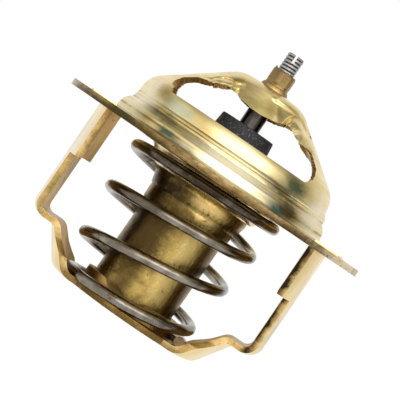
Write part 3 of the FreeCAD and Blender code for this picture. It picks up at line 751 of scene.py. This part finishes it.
# Creases and ridges of the crown: ends in x and z, height and width.
CREASES = [
    ((-7.6, 14.0), (-4.4, 14.7), -0.22, 0.35), ((-7.0, 13.5), (-4.8, 14.2), 0.16, 0.40),
    ((2.4, 15.0), (3.7, 13.0), 0.10, 0.50), ((4.5, 13.5), (5.0, 15.1), -0.16, 0.35),
    ((5.3, 13.6), (6.1, 14.8), 0.16, 0.40), ((6.2, 13.2), (7.3, 14.0), -0.16, 0.35),
    ((7.2, 13.0), (8.2, 13.4), 0.12, 0.35),
]
# Section of the rolled edge beside a window: share of its width, and height over the cone.
ROLL = [(0.0, -0.65), (0.3, -0.2), (0.55, 0.1), (0.72, 0.06), (0.88, -0.34), (1.12, 0.0)]
# Rolled edges left and right of a window: start and end with their fades, width and strength.
ROLLED_EDGES = [(-11.0, 2.0, -4.0, 1.5, 1.25, 0.8), (4.5, 1.5, 12.3, 1.5, 2.2, 1.1)]


def ragged(outline, size, seed):
    """The outline with short torn steps between its points."""
    shortest_run, step = 0.3, 0.22
    chance = random.Random(seed)
    torn = []
    for index, point in enumerate(outline):
        after = outline[(index + 1) % len(outline)]
        start, end = Vector(point), Vector(after)
        torn.append(start)
        length = (end.xy - start.xy).length
        if length < shortest_run or index == len(outline) - 1:
            continue
        side = Vector((start.y - end.y, end.x - start.x, 0.0)).normalized()
        pieces = max(2, int(length / step))
        for part in range(1, pieces):
            torn.append(start.lerp(end, part / pieces) + side * chance.uniform(-size, size))
    return [tuple(point) for point in torn]


def eased(value):
    """A smooth step from 0 to 1."""
    value = min(max(value, 0.0), 1.0)
    return value * value * (3 - 2 * value)


def within(value, start, fade_in, end, fade_out):
    """How far a value is inside a run, from 0 outside to 1 past the fades at its ends."""
    return eased((value - start) / fade_in) * eased((end - value) / fade_out)


def away_from(start, end, x, z):
    """How far a point lies from the run between two others."""
    run_x, run_z = end[0] - start[0], end[1] - start[1]
    part = ((x - start[0]) * run_x + (z - start[1]) * run_z) / (run_x**2 + run_z**2)
    part = min(max(part, 0.0), 1.0)
    return math.hypot(x - start[0] - run_x * part, z - start[1] - run_z * part)


def rolled(share):
    """The height of the rolled edge at a share of its width."""
    for start, end in zip(ROLL, ROLL[1:]):
        if share <= end[0]:
            part = (share - start[0]) / (end[0] - start[0])
            return start[1] + (end[1] - start[1]) * part
    return 0.0


def crown_height(along, z):
    """How far the press raised or sank the crown beside a window, in mm."""
    height = 0.0
    for start, end, rise, wide in CREASES:
        height += rise * math.exp(-((away_from(start, end, along, z) / wide) ** 2))
    for start, fade_in, end, fade_out, width, strength in ROLLED_EDGES:
        part = within(along, start, fade_in, end, fade_out)
        if part > 0.0:
            edge = [point for point in FRONT_WINDOW if point[1] > 9.0]
            gap = min(away_from(one, two, along, z) for one, two in zip(edge, edge[1:]))
            height += part * rolled(gap / width) * strength
    return height


def wall_radius(z):
    """The radius of the dome's outside at a height, in mm."""
    if z < CONE_FOOT:
        return WALL
    if z < CONE_HEAD:
        return WALL - (z - CONE_FOOT) / CONE_RISE
    return CROWN_X + math.sqrt(max(CROWN_RADIUS**2 - (z - CROWN_Z) ** 2, 0.0))


def shape_dome(x, y, z):
    """The pressed shape of the dome: lips, crest, creases, leaning foot and waves, in mm.

    The crown moves along Y alone, which keeps the outlines of the windows."""
    side = -1 if y < 0 else 1
    wall = wall_radius(z)
    depth = wall * wall - x * x
    out = math.hypot(x, y)
    if z > 9.0 and depth > 4.0 and abs(y) > 1.0 and out > wall - 3.0:
        along = -x * side
        inside = eased((5.9 - along) / 1.7) if along > 0 else eased((6.2 + along) / 1.8)
        steep = min(LIP_RADIUS + (LIP_HEAD - z) * LIP_SPREAD, wall)
        back = math.sqrt(depth) - math.sqrt(max(steep * steep - x * x, 1.0))
        share = max(math.sqrt(depth) / wall, 0.5)
        off_axis = eased((abs(y) - 1.0) / 2.0)
        height = crown_height(along, z) * off_axis
        inner = eased((wall - 0.4 - out) / 0.8)
        crest = eased((z - 15.4) / 1.2) * within(along, 0.3, 1.5, 7.0, 1.5)
        crest *= eased((depth - 4.0) / 8.0) * off_axis * eased((out - 2.8) / 1.6)
        lip = back * inside * (1 - 0.25 * inner)
        y -= side * (lip - height / (0.8 * share) - CREST_REACH * crest)
    if z > 1.0:
        waves = noise.noise(Vector((x, y, z)) * 0.16) * 0.03
        scale = 1 + waves / max(math.hypot(x, y), 3.0)
        lean = FOOT_LEAN * math.exp(-(((z - FOOT_HEIGHT) / FOOT_SPAN) ** 2))
        x, y = x * scale + lean, y * scale
    return (x, y, z)


# Forms of the stirrup, in mm

# Gauge of the strip.
STRIP = 1.05
# What is cut away on one side of the arms and of the tab heads: distance from the middle, and z.
ARM_CUT = [
    (7.0, 3.0), (7.0, -0.55), (9.6, -0.55), (9.6, -9.85), (6.15, -9.85), (6.15, -21.0),
    (6.6, -22.6), (8.1, -24.6), (8.1, -26.4), (30, -26.4), (30, 3.0),
]
TAB_CUT = [(7.0, 0.0), (7.0, 2.0), (30, 2.0), (30, 0.0)]
# The base has straight edges, and between them a round part about the collar.
BASE_HALF_WIDTH, BASE_RADIUS, BASE_ARC_STEPS = 8.1, 11.6, 24
# Height from which the base is bent, and how far down the bend grows.
BASE_TOP, BASE_DEPTH = -21.2, 6.25


def base_outline(side):
    """What is cut away beside the base: x and y, on the front side (-1) or the back (1)."""
    turn = math.asin(BASE_HALF_WIDTH / BASE_RADIUS)
    edge = BASE_HALF_WIDTH * side
    arc = []
    for part in range(BASE_ARC_STEPS + 1):
        angle = turn + (math.pi - 2 * turn) * part / BASE_ARC_STEPS
        arc.append((BASE_RADIUS * math.cos(angle), BASE_RADIUS * math.sin(angle) * side))
    return [(26, edge)] + arc + [(-26, edge), (-26, 26 * side), (26, 26 * side)]


def bent_base(x, y, z):
    """The base as the press left it: lower on the right, and pushed out on the left."""
    if z < BASE_TOP:
        part = min((BASE_TOP - z) / BASE_DEPTH, 1.0)
        z += (0.15 - 0.014 * x) * part
        x += -0.3 * part if x < 0 else 0.0
    return (x, y, z)


# Forms of the boss, the screw and the wax case, in mm

# Boss above its neck: how far its flats lie from the axis, and where the first one is turned.
FLAT, FLAT_TURN = 2.0, math.radians(20)
# Adjusting screw: its radius, the foot and length of its thread, and a row of vertices.
SCREW_RADIUS, THREAD_FOOT, THREAD_RUN, THREAD_ROW = 1.5, 19.7, 4.15, 0.05
# The wax case hangs to the left, by x for z.
LEAN = 0.0122


def flatted_boss(x, y, z):
    """The boss with six soft flats and a burr on its upper edge."""
    radius = math.hypot(x, y)
    if z > 18.0 and radius > 1.7:
        angle = math.atan2(y, x)
        sector = (angle - FLAT_TURN) % (math.pi / 3) - math.pi / 6
        burr = math.exp(-((angle - 2.9) ** 2) / 0.08) * max(z - 20.2, 0) * 0.7
        scale = min(1.0, FLAT / math.cos(sector) / radius) if radius > FLAT else 1.0
        x, y, z = x * scale, y * scale, z + burr
    return (x, y, z)


def leaning_case(x, y, z):
    """The wax case below the flange, as it hangs."""
    return (x + LEAN * z, y, z) if z < 0 else (x, y, z)


# Spring wire: turns from +X, then its height, its coil radius and the coil's shift along X, in mm.
SPRING_RUN = [
    (-0.03, -25.65, 11.15, -0.45), (0.25, -25.65, 11.15, -0.5), (0.5, -25.6, 11.15, -0.55),
    (0.75, -25.25, 11.25, -0.6), (1.0, -23.1, 11.45, -0.7), (1.5, -19.5, 12.0, -0.75),
    (1.75, -17.1, 12.2, -0.77), (2.0, -14.7, 12.35, -0.78), (2.5, -10.8, 12.65, -0.77),
    (2.75, -9.35, 12.85, -0.72), (3.0, -7.7, 13.0, -0.65), (3.5, -2.95, 13.25, -0.4),
    (3.75, -2.0, 13.25, -0.35), (4.0, -1.72, 13.25, -0.3), (4.29, -1.7, 13.25, -0.3),
]
POINTS_PER_TURN = 40


def between(table, turn):
    """The row of a table at a turn, on smooth curves through its rows."""
    index = 0
    while index < len(table) - 2 and turn > table[index + 1][0]:
        index += 1
    start, end = table[index], table[index + 1]
    before = table[max(index - 1, 0)]
    after = table[min(index + 2, len(table) - 1)]
    span = end[0] - start[0]
    part = (turn - start[0]) / span
    square, cube = part * part, part * part * part
    row = []
    for column in range(1, len(start)):
        slope_in = (end[column] - before[column]) / (end[0] - before[0]) * span
        slope_out = (after[column] - start[column]) / (after[0] - start[0]) * span
        row.append(
            (2 * cube - 3 * square + 1) * start[column]
            + (cube - 2 * square + part) * slope_in
            + (3 * square - 2 * cube) * end[column]
            + (cube - square) * slope_out
        )
    return row


# The add-on

LENGTH = {"subtype": "DISTANCE", "unit": "LENGTH"}
ANGLE = {"subtype": "ANGLE", "unit": "ROTATION"}


class ThermostatSizes(bpy.types.PropertyGroup):
    """Sizes that set the fine forms of the thermostat."""

    tear_size: bpy.props.FloatProperty(
        name="Tear size",
        description="How far the torn edges of the windows step in and out",
        default=0.00006,
        **LENGTH,
    )
    thread_pitch: bpy.props.FloatProperty(
        name="Thread pitch",
        description="Rise of the adjusting screw in one turn",
        default=0.0006,
        **LENGTH,
    )
    wire_radius: bpy.props.FloatProperty(
        name="Wire radius",
        description="Half the thickness of the spring's wire",
        default=0.00095,
        **LENGTH,
    )


class ThermostatStage(bpy.types.PropertyGroup):
    """Floor and camera of the stage."""

    floor_colour: bpy.props.FloatVectorProperty(
        name="Floor colour",
        description="Colour of the pale floor",
        default=(0.9, 0.9, 0.9),
        size=3,
        subtype="COLOR",
    )
    camera_distance: bpy.props.FloatProperty(
        name="Camera distance",
        description="From the camera to the middle of the object",
        default=0.45,
        **LENGTH,
    )
    camera_roll: bpy.props.FloatProperty(
        name="Camera roll",
        description="Tilt of the picture against the object's axis",
        default=math.radians(34.3),
        **ANGLE,
    )
    camera_turn: bpy.props.FloatProperty(
        name="Camera turn",
        description="Way round the object from straight in front",
        default=math.radians(2.2),
        **ANGLE,
    )
    camera_rise: bpy.props.FloatProperty(
        name="Camera rise",
        description="Height of the view above level",
        default=math.radians(0.6),
        **ANGLE,
    )


class THERMOSTAT_OT_dome(bpy.types.Operator):
    """Presses the flange and the dome from one sheet and tears its windows"""

    bl_idname = "thermostat.dome"
    bl_label = "Flange and dome"

    def execute(self, context):
        dome = spun_section("dome", 0.3, 256, pressed_brass, rim_brass, closed=False)
        top = max(dome.data.polygons, key=lambda face: face.center.z)
        if top.normal.z < 0:
            dome.data.flip_normals()
        solid = {"thickness": SHEET * MM, "offset": -1.0, "use_even_offset": True}
        apply_modifier(dome, "SOLIDIFY", material_offset_rim=1, **solid)
        tear = context.scene.thermostat_sizes.tear_size / MM
        front = ragged(FRONT_WINDOW, tear, 3)
        cut_away(dome, window_cutter("front_cut", front, -1))
        back = []
        for x, z, width in reversed(FRONT_WINDOW):
            back.append((-x * BACK_SCALE, SILL + (z - SILL) * BACK_SCALE, width))
        cut_away(dome, window_cutter("back_cut", ragged(back, tear, 5), 1))
        reshape(dome, shape_dome)
        smooth(dome, 30)
        settle(dome, "frame", "sheet_brass", "upper_frame")
        return {"FINISHED"}


class THERMOSTAT_OT_stirrup(bpy.types.Operator):
    """Presses the stirrup from one strip, with its collar and staked tabs"""

    bl_idname = "thermostat.stirrup"
    bl_label = "Stirrup"

    def execute(self, context):
        # Slots: the outside, the painted shade of the inside, the sheared edges and the corners.
        finishes = (strip_brass, shaded_strip_brass, sheared_brass, highlit_corner)
        stirrup = spun_section("stirrup", 0.5, 240, *finishes, closed=False)
        outer = max(stirrup.data.polygons, key=lambda face: face.center.z)
        way = Vector((outer.center.x, outer.center.y, 0))
        if outer.normal.dot(way) < 0:
            stirrup.data.flip_normals()
        solid = {"thickness": STRIP * MM, "offset": -1.0, "use_even_offset": True}
        apply_modifier(stirrup, "SOLIDIFY", material_offset=1, material_offset_rim=2, **solid)
        for side in (1, -1):
            outline = [(across * side, z) for across, z in ARM_CUT]
            cut_away(stirrup, outline_cutter("side_cut", outline, "X", -30, 30, sheared_brass))
            outline = base_outline(side)
            cutter = outline_cutter("base_cut", outline, "Z", -28.5, -26.35, sheared_brass)
            cut_away(stirrup, cutter)
        heads = []
        for side in (1, -1):
            head = spun_section("tab_head", 0.5, 240)
            for cut_side in (1, -1):
                outline = [(across * cut_side, z) for across, z in TAB_CUT]
                cut_away(head, outline_cutter("head_cut", outline, "X", -30, 30, sheared_brass))
            outline = [(-30 * side, -30), (0, -30), (0, 30), (-30 * side, 30)]
            cut_away(head, outline_cutter("half_cut", outline, "Z", -1, 3, sheared_brass))
            head.data.materials.clear()
            head.data.materials.append(material_of(strip_brass))
            heads.append(head)
        take(*heads, stirrup)
        bpy.ops.object.join()
        limit = {"limit_method": "ANGLE", "angle_limit": math.radians(50)}
        # The rounded corners take slot 3, their painted highlight.
        apply_modifier(stirrup, "BEVEL", width=0.16 * MM, segments=3, material=3, **limit)
        smooth(stirrup)
        reshape(stirrup, bent_base)
        settle(stirrup, "frame", "sheet_brass", "lower_frame")
        return {"FINISHED"}


class THERMOSTAT_OT_boss(bpy.types.Operator):
    """Turns the boss, the adjusting screw with its thread and slot, and the piston rod"""

    bl_idname = "thermostat.boss"
    bl_label = "Boss, screw and rod"

    def execute(self, context):
        boss = spun_section("boss", 0.3, 144, turned_brass)
        reshape(boss, flatted_boss)
        smooth(boss, 30)
        settle(boss, "frame", "turned_brass", "adjusting_nut")

        pitch = context.scene.thermostat_sizes.thread_pitch / MM

        def threaded(x, y, z):
            if math.hypot(x, y) > 1.4:
                phase = (z / pitch - math.atan2(y, x) / (2 * math.pi)) % 1.0
                scale = 1 - 0.10 * eased(1 - abs(phase - 0.5) / 0.30)
                x, y = x * scale, y * scale
            return (x, y, z)

        rows = int(THREAD_RUN / THREAD_ROW)
        path = [(0.0, THREAD_FOOT)]
        for row in range(rows + 1):
            path.append((SCREW_RADIUS, THREAD_FOOT + THREAD_RUN * row / rows))
        screw = spun_shape("screw", path + [(1.3, 24.0), (0.0, 24.0)], 96)
        reshape(screw, threaded)
        screw.data.materials.append(material_of(cut_steel))
        slot = [(-0.25, 22.7), (0.25, 22.7), (0.25, 25), (-0.25, 25)]
        cut_away(screw, outline_cutter("slot_cut", slot, "Y", -3, 3, cut_steel))
        path = [(0.0, 15.2), (SCREW_RADIUS, 15.2), (SCREW_RADIUS, 19.9), (0.0, 19.9)]
        shank = spun_shape("shank", path, 64)
        shank.data.materials.append(material_of(cut_steel))
        take(shank, screw)
        bpy.ops.object.join()
        smooth(screw, 40)
        settle(screw, "frame", "bright_steel", "adjusting_screw")

        rod = spun_section("rod", 2.0, 96, ground_steel)
        smooth(rod)
        settle(rod, "frame", "ground_steel", "piston_rod")
        return {"FINISHED"}


class THERMOSTAT_OT_element(bpy.types.Operator):
    """Turns the wax element: its drawn case, the guide with its skirt and the rubber boot"""

    bl_idname = "thermostat.element"
    bl_label = "Wax element and boot"

    def execute(self, context):
        case = spun_section("case", 0.8, 144, element_brass)
        reshape(case, leaning_case)
        smooth(case)
        settle(case, "valve", "case_brass", "element_case")

        guide = spun_section("guide", 0.6, 144, element_brass)
        smooth(guide)
        settle(guide, "valve", "guide_brass", "element_guide")

        boot = spun_section("boot", 0.4, 128, moulded_rubber)
        smooth(boot)
        settle(boot, "valve", "grey_rubber", "piston_boot")
        return {"FINISHED"}


def refinish(node, finish, *words):
    """Gives a solid of the source one finish instead of its own."""
    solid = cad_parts[node]
    solid.data.materials.clear()
    solid.data.materials.append(material_of(finish, *words))


class THERMOSTAT_OT_valve(bpy.types.Operator):
    """Presses the valve plate and gives the snap ring a ground steel finish"""

    bl_idname = "thermostat.valve"
    bl_label = "Valve plate and ring"

    def execute(self, context):
        plate = spun_section("valve_dish", 0.5, 192, strip_brass)
        smooth(plate)
        settle(plate, "valve", "valve_brass", "valve_plate")
        refinish("snap_ring", ground_steel)
        return {"FINISHED"}


class THERMOSTAT_OT_spring(bpy.types.Operator):
    """Coils the spring from one wire, closed at both ends"""

    bl_idname = "thermostat.spring"
    bl_label = "Spring"

    def execute(self, context):
        first, last = SPRING_RUN[0][0], SPRING_RUN[-1][0]
        total = int((last - first) * POINTS_PER_TURN)
        curve = bpy.data.curves.new("spring_wire", "CURVE")
        curve.dimensions = "3D"
        spline = curve.splines.new("POLY")
        spline.points.add(total)
        for step, place in enumerate(spline.points):
            turn = first + (last - first) * step / total
            height, radius, shift = between(SPRING_RUN, turn)
            angle = 2 * math.pi * turn
            x, y = radius * math.cos(angle) + shift, radius * math.sin(angle)
            place.co = (x * MM, y * MM, height * MM, 1.0)
        curve.bevel_depth = context.scene.thermostat_sizes.wire_radius
        curve.bevel_resolution = 10
        curve.use_fill_caps = True
        wire = bpy.data.objects.new("spring", curve)
        context.scene.collection.objects.link(wire)
        take(wire)
        bpy.ops.object.convert(target="MESH")
        spring = context.object
        spring.name = "spring"
        bpy.ops.object.mode_set(mode="EDIT")
        tidy_mesh()
        spring.data.materials.append(material_of(drawn_steel))
        smooth(spring, 40)
        settle(spring, "frame", "spring_steel", "main_spring")
        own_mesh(spring)
        return {"FINISHED"}


class THERMOSTAT_OT_insides(bpy.types.Operator):
    """Gives the wax, the gel and the seals their plain finishes"""

    bl_idname = "thermostat.insides"
    bl_label = "Filling and seals"

    def execute(self, context):
        refinish("wax_fill", plain_inside, "copper_wax", "8A5A34", 0.5)
        refinish("diaphragm", plain_inside, "seal_rubber", "1E1E1F", 0.6)
        refinish("transfer_gel", plain_inside, "clear_gel", "C9C2AE", 0.3)
        refinish("rubber_plunger", plain_inside, "seal_rubber", "1E1E1F", 0.6)
        refinish("backup_disc", plain_inside, "white_disc", "E6E5E0", 0.4)
        return {"FINISHED"}


# The stage

FLOOR = -27.45 * MM - 0.00002
AIM = Vector((0.11, 0.0, -4.49)) * MM
SENSOR_WIDTH = 36.0
# The photo is 400 points wide, and 6.07 of them show one mm.
VIEW_WIDTH = 400 / 6.07 * MM
LIGHTS_AIM = Vector((0, 0, -0.002))
# Grey of the room that the metal mirrors, from behind the object (0) to behind the camera (1).
ROOM = [
    (0.0, "FFFFFF"), (0.18, "F2F2F0"), (0.33, "C4C4BE"), (0.45, "84857E"), (0.55, "3E403A"),
    (0.66, "A8A8A0"), (0.77, "F6F6F2"), (1.0, "FFFFFF"),
]
TO_CAMERA = (0.052, -0.9986, 0.0)


def backdrop_share(tree, mirrored):
    """How much of the white backdrop a ray meets: all for the camera, a share for shine."""
    path = add_node(tree, "ShaderNodeLightPath")
    rays = (path.outputs["Is Glossy Ray"], path.outputs["Is Transmission Ray"])
    shiny = worked_out(tree, NUMBERS, "MAXIMUM", *rays)
    part = worked_out(tree, NUMBERS, "MULTIPLY", shiny, mirrored)
    return worked_out(tree, NUMBERS, "MAXIMUM", path.outputs["Is Camera Ray"], part)


def mixed_shader(tree, share, first, second):
    """Two surfaces or backgrounds, the second by its share."""
    links = {0: share, 1: first.outputs[0], 2: second.outputs[0]}
    return add_node(tree, "ShaderNodeMixShader", links=links).outputs[0]


# Pale floor: matte in its own colour, and white to the camera and to the metal above it.
def pale_floor(*colour):
    material, tree = new_material("pale_floor")
    share = worked_out(tree, NUMBERS, "MULTIPLY", backdrop_share(tree, 1.0), 0.9)
    matte = add_node(tree, "ShaderNodeBsdfDiffuse", {"Color": (*colour, 1.0)})
    glow = add_node(tree, "ShaderNodeEmission", {"Color": grey(1.0), "Strength": 1.07})
    surface = mixed_shader(tree, share, matte, glow)
    add_node(tree, "ShaderNodeOutputMaterial", links={"Surface": surface})
    return material


def softbox(scene, name, place, size, power):
    """A rectangular light that faces the object."""
    light = bpy.data.lights.new(name, "AREA")
    light.shape = "RECTANGLE"
    light.size, light.size_y = size
    light.energy = power
    lamp = bpy.data.objects.new(name, light)
    scene.collection.objects.link(lamp)
    lamp.location = place
    lamp.rotation_euler = (LIGHTS_AIM - Vector(place)).to_track_quat("-Z", "Y").to_euler()


def set_camera(scene, stage):
    """Puts the camera where the photo was taken from."""
    turn, rise, roll = stage.camera_turn, stage.camera_rise, stage.camera_roll
    outward = Vector(
        (math.sin(turn) * math.cos(rise), -math.cos(turn) * math.cos(rise), math.sin(rise))
    )
    level = Vector((math.cos(turn), math.sin(turn), 0.0))
    upright = outward.cross(level)
    right = level * math.cos(roll) + upright * math.sin(roll)
    up = upright * math.cos(roll) - level * math.sin(roll)
    data = bpy.data.cameras.new("camera")
    data.sensor_width = SENSOR_WIDTH
    data.lens = SENSOR_WIDTH * stage.camera_distance / VIEW_WIDTH
    data.clip_start = 0.01
    data.clip_end = 20.0
    camera = bpy.data.objects.new("camera", data)
    scene.collection.objects.link(camera)
    facing = Matrix((right, up, outward)).transposed().to_4x4()
    camera.matrix_world = Matrix.Translation(AIM + outward * stage.camera_distance) @ facing
    scene.camera = camera


def set_world(scene):
    """A white backdrop, and for the metal a room that is dark beside the object."""
    world = scene.world or bpy.data.worlds.new("studio")
    scene.world = world
    world.use_nodes = True
    tree = world.node_tree
    tree.nodes.clear()
    way = add_node(tree, "ShaderNodeTexCoord").outputs["Generated"]
    flat = worked_out(tree, VECTORS, "MULTIPLY", way, (1.0, 1.0, 1.7))
    unit = worked_out(tree, VECTORS, "NORMALIZE", flat)
    ahead = worked_out(tree, VECTORS, "DOT_PRODUCT", unit, TO_CAMERA)
    room = ramp(tree, worked_out(tree, NUMBERS, "MULTIPLY_ADD", ahead, 0.5, 0.5), ROOM)
    surroundings = add_node(tree, "ShaderNodeBackground", {"Strength": 1.0}, {"Color": room})
    backdrop = add_node(tree, "ShaderNodeBackground", {"Color": grey(1.0), "Strength": 1.0})
    surface = mixed_shader(tree, backdrop_share(tree, 0.2), surroundings, backdrop)
    add_node(tree, "ShaderNodeOutputWorld", links={"Surface": surface})


class THERMOSTAT_OT_stage(bpy.types.Operator):
    """Sets the pale floor, the soft light and the camera"""

    bl_idname = "thermostat.stage"
    bl_label = "Stage"

    def execute(self, context):
        scene = context.scene
        stage = scene.thermostat_stage
        bpy.ops.object.select_all(action="DESELECT")
        bpy.ops.mesh.primitive_plane_add(size=6.0, location=(0, 0, FLOOR))
        floor = context.object
        floor.name = "floor"
        floor.data.materials.append(material_of(pale_floor, *stage.floor_colour))
        set_camera(scene, stage)
        softbox(scene, "key_light", (0.08, -0.47, 0.10), (0.62, 0.34), 1.1)
        softbox(scene, "top_light", (0.05, -0.05, 0.5), (0.4, 0.3), 0.25)
        softbox(scene, "left_light", (-0.46, -0.14, 0.10), (0.2, 0.4), 0.15)
        set_world(scene)
        scene.view_settings.view_transform = "Standard"
        return {"FINISHED"}


class THERMOSTAT_PT_panel(bpy.types.Panel):
    """The thermostat's pieces and its stage"""

    bl_idname = "THERMOSTAT_PT_panel"
    bl_label = "Engine thermostat"
    bl_space_type = "VIEW_3D"
    bl_region_type = "UI"
    bl_category = "Thermostat"

    def draw(self, context):
        for group in (context.scene.thermostat_sizes, context.scene.thermostat_stage):
            for name in type(group).__annotations__:
                self.layout.prop(group, name)
        for step in STEPS:
            self.layout.operator(step.bl_idname)


STEPS = (
    THERMOSTAT_OT_dome,
    THERMOSTAT_OT_stirrup,
    THERMOSTAT_OT_boss,
    THERMOSTAT_OT_element,
    THERMOSTAT_OT_valve,
    THERMOSTAT_OT_spring,
    THERMOSTAT_OT_insides,
    THERMOSTAT_OT_stage,
)
CLASSES = (ThermostatSizes, ThermostatStage, *STEPS, THERMOSTAT_PT_panel)


def register():
    for kind in CLASSES:
        bpy.utils.register_class(kind)
    bpy.types.Scene.thermostat_sizes = bpy.props.PointerProperty(type=ThermostatSizes)
    bpy.types.Scene.thermostat_stage = bpy.props.PointerProperty(type=ThermostatStage)


def unregister():
    del bpy.types.Scene.thermostat_stage
    del bpy.types.Scene.thermostat_sizes
    for kind in reversed(CLASSES):
        bpy.utils.unregister_class(kind)


def main():
    register()
    bpy.ops.thermostat.dome()
    bpy.ops.thermostat.stirrup()
    bpy.ops.thermostat.boss()
    bpy.ops.thermostat.element()
    bpy.ops.thermostat.valve()
    bpy.ops.thermostat.spring()
    bpy.ops.thermostat.insides()
    bpy.ops.thermostat.stage()


if __name__ == "__main__":
    main()
